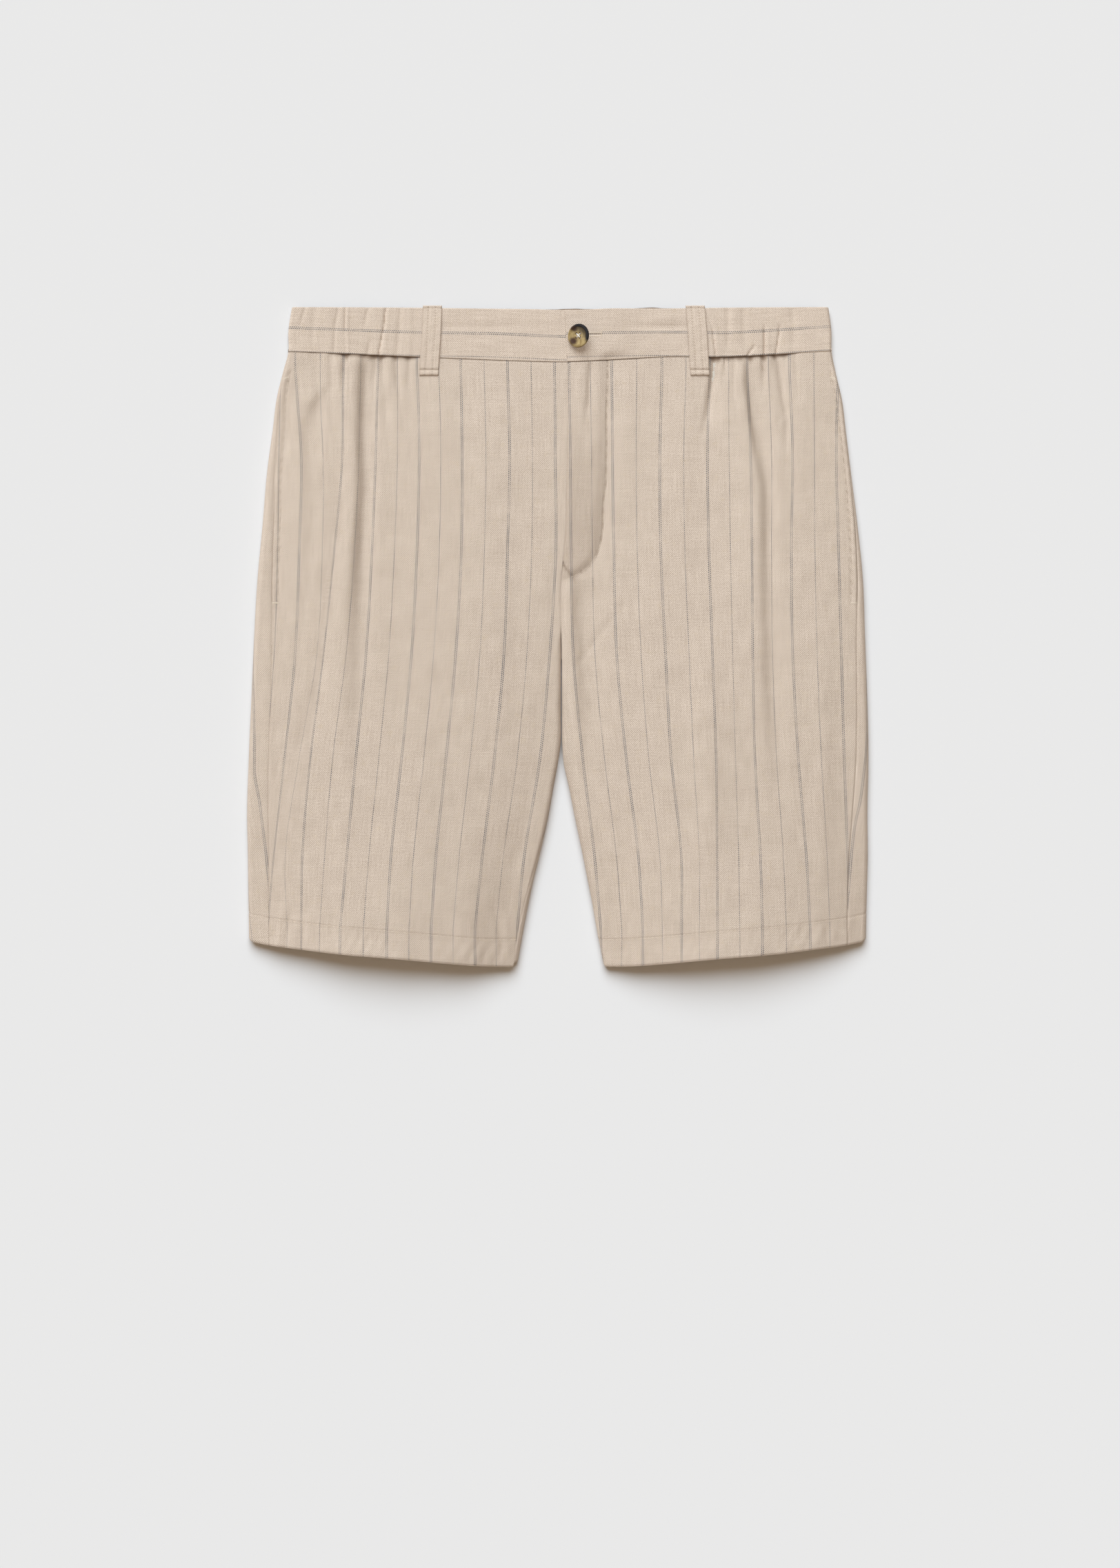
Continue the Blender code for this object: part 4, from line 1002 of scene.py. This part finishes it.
# The top edge of the front bands bows down a little between the sides.
BAND_TOP = Table("x down", [(-212, 0.1), (-140, 0.4), (-60, 1.3), (-14, 1.9), (2, 2.5), (20, 2.4),
                            (36, 1.6), (80, 1.3), (140, 0.5), (214, 0.1)])
BUTTONHOLE_X, BUTTONHOLE_DOWN = (18.0, 34.2), 21.9
BAND_COLUMNS = stations(120, (0.0, 1.0), 5.0, 0.008)
BAND_ROWS = stations(60, (0.0, 0.48, 1.0), 6.0, 0.03)
BAND_ENDS = {RIGHT: (RIGHT_LOOP_X, BUTTON_END_X), LEFT: (CENTRE.read("x", 0), LEFT_LOOP_X)}


def band_face(x):
    """Outer face of the left front band, which lies over the button end."""
    return HEIGHTS.read("inner", 0) + OVERLAP_RISE * (1 - smoothstep(*OVERLAP_EASE, x))


def rounded(distance, radius):
    """How far a rounded edge falls back, by the distance from it."""
    t = np.clip(1 - distance / radius, 0, 1)
    return -radius * (1 - np.sqrt(1 - t * t))


def band_pulls(x, down):
    """How far the flat stretch bows out at each place."""
    return sum(height * bell(x - at_x, reach) * bell(down - at_down, half_width)
               for at_x, at_down, reach, half_width, height in BAND_PULLS)


banded_twill = make_twill("banded_twill", light=1.05, first_stripe=-12.0)
bands = {}

for side in (RIGHT, LEFT):
    start, end = BAND_ENDS[side]
    column, row = np.meshgrid(BAND_COLUMNS, BAND_ROWS)
    x = mix(start, end, column)
    foot = WAIST_SEAM.read("down", x) + BAND_OVERHANG
    top = BAND_TOP.read("down", x)
    down = mix(top, foot, row)
    if side == RIGHT:
        z = HEIGHTS.read("inner", 0) + 0 * x
        panel = Half(side, foot + 2).front_height(x)
    else:
        x = x + END_SLANT * row * (1 - smoothstep(5.9, 30, x))
        z = band_face(x)
        panel = Half(side, foot + 2).front_height(x) + placket_form(x, foot + 2)
    z = mix(z, np.minimum(z, panel + 0.5), smoothstep(foot - 7, foot, down))
    relief = band_pulls(x, down) + rounded(down - top, BAND_EDGE) + rounded(foot - down, 0.35) \
        + 0.12 * np.sin(x / 7.3 + down / 5) * np.sin(down / 6.5)
    if side == LEFT:
        hole_start, hole_end = BUTTONHOLE_X
        on_hole = smoothstep(hole_start - 2, hole_start, x) * smoothstep(hole_end + 2, hole_end, x)
        relief = relief + rounded(x - x[:, :1], 0.5) \
            - on_hole * 0.7 * bell(down - BUTTONHOLE_DOWN, 0.4)
    name = "waistband_front_" + SIDE_NAMES[side]
    band = cut_cloth(name + "_cloth", x, down, z, down - BAND_STRIPES.read(SIDE_NAMES[side], x), -x,
                     banded_twill, thickness=BAND, relief=relief)
    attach(band, "root")
    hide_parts(name)
    abs(end - start) * MM
    "waistband_back_cloth" if side == RIGHT else "waistband_front_right_cloth"
    bands[side] = band

# The elasticated part runs from the right loop over the front to the side fold, round it, along
# underneath, round the left side fold, and back over the front to the left loop.
right_side, left_side = (Half(side, np.zeros(1)) for side in (RIGHT, LEFT))
band_height = float(HEIGHTS.read("inner", 0))
band_lengths = [float(length[0]) for length in (
    RIGHT_LOOP_X - right_side.side_centre, right_side.radius * math.pi,
    left_side.side_centre - right_side.side_centre, left_side.radius * math.pi,
    left_side.side_centre - LEFT_LOOP_X)]
band_marks = np.cumsum([0.0] + band_lengths)
band_columns = np.concatenate([
    np.linspace(band_marks[i], band_marks[i + 1], count, endpoint=False)
    for i, count in enumerate((100, 14, 260, 14, 100))] + [band_marks[-1:]])
along, row = np.meshgrid(band_columns, stations(34, (0.0, 1.0), 5.0, 0.03))
turn = {side: (along - band_marks[start]) / half.radius
        for side, half, start in ((RIGHT, right_side, 1), (LEFT, left_side, 3))}
where = [along < band_marks[1], along < band_marks[2], along < band_marks[3], along < band_marks[4]]
x = np.select(where, [
    RIGHT_LOOP_X - along,
    right_side.side_centre - right_side.radius * np.sin(turn[RIGHT]),
    right_side.side_centre + along - band_marks[2],
    left_side.side_centre + left_side.radius * np.sin(turn[LEFT]),
], left_side.side_centre - (along - band_marks[4]))
z = np.select(where, [
    band_height + 0 * along,
    BACK_LIFT + right_side.radius * (1 + np.cos(turn[RIGHT])),
    BACK_LIFT + 0 * along,
    BACK_LIFT + left_side.radius * (1 - np.cos(turn[LEFT])),
], band_height)
foot = WAIST_SEAM.read("down", x) + BAND_OVERHANG
behind = smoothstep(band_marks[2] - 2, band_marks[2] + 8, along) \
    * (1 - smoothstep(band_marks[3] - 8, band_marks[3] + 2, along))
top = BAND_TOP.read("down", x) - behind * (0.35 + 1.1 * bell(x - 12, 14) + 0.8 * bell(x - 73, 9))
down = mix(top, foot, row)
on_front = 1 - smoothstep(band_marks[1] - 8, band_marks[1], along) \
    + smoothstep(band_marks[4], band_marks[4] + 8, along)
side_reach = np.where(x < 0, SIDES.read("right_fold", down) - SIDES.read("right_fold", 0),
                      SIDES.read("left_fold", down) - SIDES.read("left_fold", 0))
x = x + side_reach * smoothstep(150, 205, abs(x))
gathers = 0.5 - 0.5 * np.cos(2 * math.pi * x / GATHER_PITCH + 1.3 * np.sin(x / 19)
                             + 0.5 * np.sin(down / 9))
z = z + behind * GATHER_RISE * gathers
unevenness = 0.18 * np.sin(x / 3.9 + np.sin(down / 8)) * np.sin(x / 13)
relief = on_front * (creases(BAND_CREASES, x, down) + unevenness) \
    + rounded(down - top, BAND_EDGE) + rounded(foot - down, 0.5)
# Where the back's top edge shows above the front bands, it gets painted shade.
elastic_band = cut_cloth("waistband_back_cloth", x, down, z, down - BAND_STRIPES.read("left", x),
                         along, banded_twill, thickness=BAND, relief=relief, faces_up=False,
                         shade=behind * 1.2 * smoothstep(3.0, 0.6, down - top))
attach(elastic_band, "root")
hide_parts("waistband_back")


# ---------------------------------------------------------------- belt loops
# Five strips of the twill, folded in three and topstitched along both edges. Each is sewn down at
# the top edge of the waistband, and below the waist seam with its end turned under.

LOOP = 1.2
LOOP_WIDTH, LOOP_LENGTH, BELT_ROOM = 15.0, 54.0, 1.2
LOOP_TOP = -0.9             # the front loops stand a little above the band
LOOP_ENDS = {RIGHT: (-98.0, -100.6), LEFT: (107.8, 112.0)}      # X of their tops and feet
LOOP_SEAMS = (-3.2, 2.6)    # the two rows of stitching down a loop
LOOP_DIMPLE = 2.3           # the pitch at which that stitching shows
HEAD_SEAM, FOOT_SEAM = 2.2, 4.6         # from a loop's top and foot to the stitching across it
BACK_LOOPS = {"right": -105.0, "centre": 5.0, "left": 115.0}    # X of their middles
BACK_LOOP_LENGTH = 50.0

loop_twill = make_twill("loop_twill", light=1.06, striped=0.0)
front_loops, back_loops = {}, []

for side, (top_x, foot_x) in LOOP_ENDS.items():
    column, row = np.meshgrid(stations(36, (0.0, 1.0), 3.0, 0.06),
                              stations(120, (0.0, 0.96, 1.0), 3.0, 0.03))
    down = mix(LOOP_TOP, LOOP_LENGTH, row)
    aside = (column - 0.5) * LOOP_WIDTH
    x = mix(top_x, foot_x, row) + aside + 0.25 * np.sin(down / 11)
    seam = WAIST_SEAM.read("down", x)
    panel = np.maximum(Half(side, np.maximum(down, seam + 1)).front_height(x), 6.4)
    face = mix(HEIGHTS.read("inner", 0), panel, smoothstep(seam - 6, seam + 6, down))
    z = face + GAP + LOOP + BELT_ROOM * np.sin(math.pi * row)
    from_edge = LOOP_WIDTH / 2 - abs(aside)
    from_head, from_foot = down - LOOP_TOP, LOOP_LENGTH - down
    dimples = np.sin(down * 2 * math.pi / LOOP_DIMPLE)
    relief = rounded(from_edge, 0.7) + rounded(from_foot, 0.9) + rounded(from_head, 0.7) \
        + 0.3 * bell(from_foot - 1.8, 1.5) - 0.4 * bell(from_foot - FOOT_SEAM, 0.8) \
        - 0.2 * sum(bell(aside - seam_x, 0.7) for seam_x in LOOP_SEAMS) * (1 + 0.5 * dimples) \
        - 0.3 * bell(from_head - HEAD_SEAM, 0.7) \
        + 0.08 * np.sin(down / 1.9) * np.sin(aside / 2 + down / 7)
    # Painted shade in the stitching's holes, along the folded edges, and along the rows of
    # stitching across the head and the foot.
    shade = sum(bell(aside - seam_x, 0.5) for seam_x in LOOP_SEAMS) * (0.2 + 0.25 * dimples) \
        + 0.2 * bell(from_edge, 0.8) + 0.5 * bell(from_foot - FOOT_SEAM, 0.6) \
        + 0.2 * bell(from_head - HEAD_SEAM, 0.5)
    name = "belt_loop_front_" + SIDE_NAMES[side]
    loop = cut_cloth(name + "_cloth", x, down, z, aside + STRIPE_PITCH / 2, down, loop_twill,
                     thickness=LOOP, relief=relief, shade=shade)
    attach(loop, "root")
    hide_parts(name)
    front_loops[side] = loop

for place_name, middle in BACK_LOOPS.items():
    column, row = np.meshgrid(stations(16, (0.0, 1.0), 3.0, 0.08),
                              stations(50, (0.0, 1.0), 4.0, 0.03))
    aside = (column - 0.5) * LOOP_WIDTH
    x = middle + aside
    top = BAND_TOP.read("down", x) + 0.6
    down = mix(top, BACK_LOOP_LENGTH, row)
    relief = rounded(LOOP_WIDTH / 2 - abs(aside), 0.6) + rounded(BACK_LOOP_LENGTH - down, 0.6) \
        + rounded(down - top, 0.6) - 0.15 * bell(abs(aside) - 5.0, 0.7)
    name = "belt_loop_back_" + place_name
    loop = cut_cloth(name + "_cloth", x, down, 0 * x, aside + STRIPE_PITCH / 2, down, loop_twill,
                     thickness=LOOP, relief=relief, faces_up=False)
    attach(loop, "root")
    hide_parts(name)
    back_loops.append(loop)


# ---------------------------------------------------------------- button
# A cast polyester button, mottled like horn, with a raised rim and four holes. A cross of cream
# thread and a shank hold it to the button end of the band, and it leans over in its buttonhole.

BUTTON_AT, BUTTON_LEAN = (17.0, 235.3, 13.17), -28.0
BUTTON_BACK = (7.6, 0.1)    # radius and height, as of the rings above it
BUTTON_RINGS = [(8.9, 0.6), (9.3, 1.5), (8.8, 2.4), (7.7, 2.6), (6.9, 2.1), (5.2, 1.7)]
HOLE_AT, HOLE_RADIUS = 1.6, 1.0

AMBER_DARK, AMBER_LIGHT = (0.230, 0.155, 0.062, 1.0), (0.430, 0.320, 0.150, 1.0)
BROWN, RED_BROWN = (0.034, 0.015, 0.010, 1.0), (0.042, 0.017, 0.010, 1.0)
SLATE_HORN = (0.016, 0.014, 0.015, 1.0)

horn = Finish("horn", 0.45, Specular_IOR_Level=0.12)
place = horn.node("ShaderNodeUVMap", {"uv_map": "face"})
parts = horn.node("ShaderNodeSeparateXYZ", {}, {"Vector": place})
drift = horn.noise(place, 0.22, 3.0, 0.5) * 6.0
streaks = horn.noise(horn.stretched(place, 0.5, 0.16, 1), 1.0, 4.0, 1.2)
radius = horn.node("ShaderNodeVectorMath", {"operation": "LENGTH"}, {0: place}).out("Value")
rim = radius.step(6.4, 8.0)
slate_side = (parts.out("X") * 0.68 + parts.out("Y") * 0.66 + drift).step(0.0, 5.5) \
    * (rim * 0.4 + 0.6)


def brown_patch(x, y, reach):
    """1 at a place on the button's face, and 0 away from it."""
    away = horn.node("ShaderNodeVectorMath", {"operation": "DISTANCE"}, {0: place, 1: (x, y, 0)})
    return (away.out("Value") + drift * 0.6).step(reach, reach * 0.25)


colour = horn.blend(streaks.step(-0.2, 0.25), AMBER_DARK, AMBER_LIGHT)
colour = horn.blend(brown_patch(-3.8, 6.0, 4.8) * 0.96, colour, BROWN)
colour = horn.blend(brown_patch(-4.2, -4.2, 4.2) * 0.96, colour, RED_BROWN)
colour = horn.blend(slate_side * 1.3, colour, SLATE_HORN)
horn.feed(horn.surface.inputs["Base Color"], colour)

bpy.ops.mesh.primitive_circle_add(vertices=72, radius=BUTTON_BACK[0] * MM, fill_type="NGON",
                                  location=(0, 0, BUTTON_BACK[1] * MM))
button = bpy.context.object
button.name = button.data.name = "button_horn"
bpy.ops.object.transform_apply(location=True, rotation=False, scale=False)
bpy.ops.object.mode_set(mode="EDIT")
bpy.ops.mesh.select_all(action="SELECT")
ring = BUTTON_BACK
for next_ring in BUTTON_RINGS:
    lift = (next_ring[1] - ring[1]) * MM
    bpy.ops.mesh.extrude_region_move(TRANSFORM_OT_translate={"value": (0, 0, lift)})
    share = next_ring[0] / ring[0]
    bpy.ops.transform.resize(value=(share, share, 1), center_override=(0, 0, 0))
    ring = next_ring
bpy.ops.mesh.select_all(action="SELECT")
bpy.ops.mesh.normals_make_consistent(inside=False)
bpy.ops.object.mode_set(mode="OBJECT")
for hole_x in (-HOLE_AT, HOLE_AT):
    for hole_y in (-HOLE_AT, HOLE_AT):
        bpy.ops.mesh.primitive_cylinder_add(vertices=20, radius=HOLE_RADIUS * MM, depth=8 * MM,
                                            location=(hole_x * MM, hole_y * MM, 0))
        drill = bpy.context.object
        drill.select_set(False)
        bpy.context.view_layer.objects.active = button
        cut = button.modifiers.new("hole", "BOOLEAN")
        cut.object = drill
        cut.solver = "EXACT"
        bpy.ops.object.modifier_apply(modifier=cut.name)
        bpy.data.objects.remove(drill, do_unlink=True)
button.select_set(True)
bpy.ops.object.shade_smooth_by_angle(angle=math.radians(40))
button.select_set(False)
face_map = button.data.uv_layers.new(name="face")
for face_loop in button.data.loops:
    x, y, _ = button.data.vertices[face_loop.vertex_index].co
    face_map.uv[face_loop.index].vector = (x / MM, y / MM)
button.data.materials.clear()
button.data.materials.append(horn.material)
button_place = Matrix.Translation(Vector(BUTTON_AT) * MM) \
    @ Matrix.Rotation(math.radians(BUTTON_LEAN), 4, "Y")
button.data.transform(button_place)
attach(button, "root")
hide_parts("button")


# ---------------------------------------------------------------- sewing
# Topstitching in beige thread: the fly's J, the pocket mouths, the hems and the belt loops, with
# bartacks where a seam takes strain. Each stitch is a short strand that dips into the cloth.

THREAD, THREAD_LIGHT = (0.60, 0.49, 0.38, 1.0), (0.70, 0.59, 0.47, 1.0)
BARTACK_THREAD, BARTACK_LIGHT = (0.60, 0.51, 0.40, 1.0), (0.68, 0.59, 0.48, 1.0)
CREAM = (0.90, 0.85, 0.76, 1.0)
STITCH, STITCH_GAP, THREAD_RADIUS = 2.3, 0.8, 0.24
LOOP_STITCH, LOOP_STITCH_GAP = 1.7, 0.6
ZIGZAG = 0.42               # the pitch of the bartacks' and the buttonhole's close stitches
FLY_LEVELS = (44, 70, 100, 130, 160, 174, 186, 194, 201, 205, 208, 210, 212, 214, 215.5)
FLY_BARTACK = ((6.0, 202.0), (11.0, 207.5))     # X and down of its ends
CROSS_REACH, CROSS_RADIUS, CROSS_HEIGHT = 2.4, 0.6, 1.75
SHANK_RADIUS, SHANK_FOOT = 1.3, -3.2


def make_thread(name, roughness, gloss, dark, light):
    """Matt sewing thread, with its plies between two colours."""
    finish = Finish(name, roughness, Sheen_Weight=0.2, Specular_IOR_Level=gloss)
    plies = finish.noise(finish.node("ShaderNodeTexCoord").out("Object"), 900.0)
    finish.feed(finish.surface.inputs["Base Color"], finish.blend(plies + 0.5, dark, light))
    finish.raise_by(plies, 0.0001, 0.3)
    return finish.material


thread = make_thread("thread", 0.7, 0.3, THREAD, THREAD_LIGHT)
cream_thread = Finish("cream_thread", 0.6, Sheen_Weight=0.2, Specular_IOR_Level=0.35,
                      Base_Color=CREAM).material
pale_thread = make_thread("pale_thread", 0.65, 0.35, BARTACK_THREAD, BARTACK_LIGHT)

for name, turn, height in (("button_thread", 45, 0.0), ("button_thread_over", -45, 0.25)):
    bpy.ops.mesh.primitive_uv_sphere_add(segments=12, ring_count=8, radius=MM)
    strand = bpy.context.object
    strand.name = strand.data.name = name
    strand.data.transform(button_place @ Matrix.Translation((0, 0, (CROSS_HEIGHT + height) * MM))
                          @ Matrix.Rotation(math.radians(turn), 4, "Z")
                          @ Matrix.Diagonal((CROSS_REACH, CROSS_RADIUS, CROSS_RADIUS, 1)))
    strand.data.shade_smooth()
    strand.data.materials.append(cream_thread)
    strand.select_set(False)
    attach(strand, "root")
bpy.ops.mesh.primitive_cylinder_add(vertices=20, radius=SHANK_RADIUS * MM, depth=-SHANK_FOOT * MM,
                                    location=(0, 0, SHANK_FOOT / 2 * MM))
shank = bpy.context.object
shank.name = shank.data.name = "button_shank"
bpy.ops.object.transform_apply(location=True, rotation=False, scale=False)
shank.data.transform(button_place)
bpy.ops.object.shade_smooth_by_angle(angle=math.radians(40))
shank.data.materials.append(cream_thread)
shank.select_set(False)
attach(shank, "root")

sewn = []


def surface_of(*pieces):
    """A search tree of the pieces' faces, to lay thread on."""
    places, faces = [], []
    for piece in pieces:
        first = len(places)
        places += [vertex.co.copy() for vertex in piece.data.vertices]
        faces += [[first + i for i in polygon.vertices] for polygon in piece.data.polygons]
    return BVHTree.FromPolygons(places, faces)


def walk(points, step):
    """Places a step apart along a line through points of X and down."""
    points = np.array(points, dtype=float)
    lengths = np.concatenate([[0], np.cumsum(np.linalg.norm(np.diff(points, axis=0), axis=1))])
    at = np.arange(0, lengths[-1], step)
    return np.stack([np.interp(at, lengths, points[:, i]) for i in (0, 1)], axis=1)


def sew(name, surface, strands, finish, radius=THREAD_RADIUS, from_above=True, sunk=0.35):
    """One mesh of strands, each from one place of X and down to another, laid on the surface."""
    bpy.ops.mesh.primitive_uv_sphere_add(segments=6, ring_count=5, radius=1.0)
    pattern = bpy.context.object
    ball = np.array([vertex.co[:] for vertex in pattern.data.vertices])
    ball_faces = [list(polygon.vertices) for polygon in pattern.data.polygons]
    bpy.data.objects.remove(pattern, do_unlink=True)
    outside = 80.0 if from_above else -50.0     # a height clear of all the cloth
    towards = Vector((0, 0, -1 if from_above else 1))
    places, faces = [], []
    for start, end in strands:
        ends = []
        for x, down in (start, end):
            found, normal, _, _ = surface.ray_cast(Vector((x, TOP_Y - down, outside)) * MM, towards)
            if found is None:
                break
            ends.append((np.array(found), np.array(normal)))
        if len(ends) < 2:
            continue
        (a, out_a), (b, out_b) = ends
        out = (out_a + out_b) / np.linalg.norm(out_a + out_b)
        line = (b - a) / 2
        side_way = np.cross(out, line / np.linalg.norm(line))
        middle = (a + b) / 2 - out * radius * MM * sunk
        first = len(places) * len(ball)
        places.append(middle + ball[:, 2:] * line + ball[:, :1] * side_way * radius * MM
                      + ball[:, 1:2] * out * radius * MM)
        faces += [[first + i for i in face] for face in ball_faces]
    mesh = bpy.data.meshes.new(name)
    mesh.from_pydata(np.concatenate(places).tolist(), [], faces)
    mesh.materials.append(finish)
    mesh.shade_smooth()
    sewing = bpy.data.objects.new(name, mesh)
    bpy.context.scene.collection.objects.link(sewing)
    bpy.context.view_layer.objects.active = sewing
    sewing.select_set(True)
    bpy.ops.object.mode_set(mode="EDIT")
    bpy.ops.mesh.select_all(action="SELECT")
    bpy.ops.mesh.normals_make_consistent(inside=False)
    bpy.ops.object.mode_set(mode="OBJECT")
    sewing.select_set(False)
    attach(sewing, "root")
    sewn.append(sewing)


def topstitches(points, length=STITCH, gap=STITCH_GAP):
    """Strands in a row along a line, with a gap between each and the next."""
    starts = walk(points, length + gap)
    share = length / (length + gap)
    return [(starts[i], mix(starts[i], starts[i + 1], share)) for i in range(len(starts) - 1)]


def bartack(start, end, width=1.6):
    """Close zigzag strands across a short bar."""
    line = walk([start, end], ZIGZAG)
    way = (line[-1] - line[0]) / np.linalg.norm(line[-1] - line[0])
    across = np.array([-way[1], way[0]]) * width / 2
    return [(place - across, place + across + way * ZIGZAG) for place in line]


def sew_loop(loop, lean=0.0, from_above=True):
    """Two rows of stitching down a belt loop, and one across it near the top."""
    middle = np.array([vertex.co.x for vertex in loop.data.vertices]).mean() / MM
    top_middle = middle - lean / 2
    strands = []
    for seam_x in LOOP_SEAMS:
        row = [(middle + seam_x - lean / 2, 1.5), (middle + seam_x + lean / 2, 48.5)]
        strands += topstitches(row, LOOP_STITCH, LOOP_STITCH_GAP)
    strands += topstitches([(top_middle - 6.5, 1.6), (top_middle + 6.5, 1.6)],
                           LOOP_STITCH, LOOP_STITCH_GAP)
    sew(loop.name.removesuffix("_cloth") + "_stitches", surface_of(loop), strands, thread,
        radius=0.2, from_above=from_above)


front_surface = {side: surface_of(fronts[side]) for side in fronts}

fly_line = [(float(CENTRE.read("x", level) + PLACKET.read("width", level)), level)
            for level in FLY_LEVELS]
sew("fly_stitches", front_surface[LEFT], topstitches(fly_line), thread)
sew("fly_bartacks", front_surface[LEFT], bartack(*FLY_BARTACK), pale_thread, radius=0.22)

hole_end = (BUTTONHOLE_X[1] + 0.3, BUTTONHOLE_DOWN)
lips = [((x, BUTTONHOLE_DOWN + lip * 0.5), (x + 0.25, BUTTONHOLE_DOWN + lip * 2.2))
        for x in np.arange(*BUTTONHOLE_X, ZIGZAG) for lip in (-1, 1)]
bar = bartack((hole_end[0], hole_end[1] - 2.8), (hole_end[0], hole_end[1] + 2.8), width=1.0)
sew("buttonhole_stitches", surface_of(bands[LEFT]), lips + bar, thread, sunk=0.0)

for side, loop in front_loops.items():
    sew_loop(loop, lean=LOOP_ENDS[side][1] - LOOP_ENDS[side][0])
for loop in back_loops:
    sew_loop(loop, from_above=False)

for side in (RIGHT, LEFT):
    levels = np.arange(POCKET_TOP + 6, POCKET_FOOT, 6.0)
    half = Half(side, levels)
    mouth_x = half.point(half.side_seam())[0]
    first_x, last_x = float(mouth_x[0]), float(mouth_x[-1])
    sew(f"pocket_{SIDE_NAMES[side]}_stitches", front_surface[side],
        topstitches(list(zip(mouth_x - side * POCKET_STITCH, levels))), thread)
    sew(f"pocket_{SIDE_NAMES[side]}_bartacks", front_surface[side],
        bartack((last_x - side * 0.5, POCKET_FOOT), (last_x - side * 5.5, POCKET_FOOT))
        + bartack((first_x - side * 1.2, 56.5), (first_x - side * 5.0, 55.5)), pale_thread)
    inner_x = float(INNER_FOLDS.read(SIDE_NAMES[side], 495)) + side * 4
    outer_x = SIDES.read(SIDE_NAMES[side] + "_fold", 500) - side * 3
    hem_line = [(float(x), float(hem_down(side, x)) - HEM_DEPTH)
                for x in np.arange(inner_x, outer_x, side * 3.0)]
    sew(f"hem_{SIDE_NAMES[side]}_stitches", surface_of(fronts[side], backs[side]),
        topstitches(hem_line), thread)
    sew(f"hem_{SIDE_NAMES[side]}_back_stitches", surface_of(backs[side]),
        topstitches([(x, down - BACK_HEM_RISE) for x, down in hem_line]), thread,
        from_above=False)


# ---------------------------------------------------------------- floor, light and camera
# The shorts lie on a plain pale floor. Soft light comes from beyond the waist. A weaker light from
# the right leg's side casts no shadow and reaches only the shorts, to model their folds. The camera
# looks straight down on them.

FLOOR_SIZE, FLOOR_Z = 12000.0, -0.3
FLOOR_COLOUR = (0.91, 0.91, 0.91, 1.0)
SKY_COLOUR, SKY_STRENGTH = (1.0, 0.752, 0.517, 1.0), 0.288
# Strength, colour, spread in degrees, and the direction that each light comes from.
SUNS = {"key": (3.21, (0.818, 0.912, 1.0), 50, (-0.10, 0.68, 0.73)),
        "side": (1.5, (0.879, 0.936, 1.0), 40, (-0.78, 0.08, 0.62))}
CAMERA_AT, CAMERA_LENS = (1.9, -115.3, 2909.0), 85.0

bpy.ops.mesh.primitive_plane_add(size=FLOOR_SIZE * MM, location=(0, 0, FLOOR_Z * MM))
floor = bpy.context.object
floor.name = floor.data.name = "floor"
floor.data.materials.append(Finish("floor", 0.9, Base_Color=FLOOR_COLOUR).material)
floor.select_set(False)

world = bpy.data.worlds.new("studio")
world.use_nodes = True
world.node_tree.nodes["Background"].inputs["Color"].default_value = SKY_COLOUR
world.node_tree.nodes["Background"].inputs["Strength"].default_value = SKY_STRENGTH
bpy.context.scene.world = world

shorts = bpy.data.collections.new("shorts")
for piece in [*fronts.values(), *backs.values(), *bands.values(), elastic_band,
              *front_loops.values(), *back_loops, button, *sewn]:
    shorts.objects.link(piece)
for name, (energy, colour, spread, direction) in SUNS.items():
    lamp = bpy.data.lights.new(name, "SUN")
    lamp.energy = energy
    lamp.color = colour
    lamp.angle = math.radians(spread)
    sun = bpy.data.objects.new(name, lamp)
    sun.rotation_euler = Vector(direction).to_track_quat("Z", "Y").to_euler()
    if name == "side":
        lamp.use_shadow = False
        sun.light_linking.receiver_collection = shorts
    bpy.context.scene.collection.objects.link(sun)

lens = bpy.data.cameras.new("camera")
lens.lens = CAMERA_LENS
lens.sensor_width = 36.0
lens.clip_end = 100.0
camera = bpy.data.objects.new("camera", lens)
camera.location = Vector(CAMERA_AT) * MM
bpy.context.scene.collection.objects.link(camera)
bpy.context.scene.camera = camera
bpy.context.scene.view_settings.view_transform = "Standard"
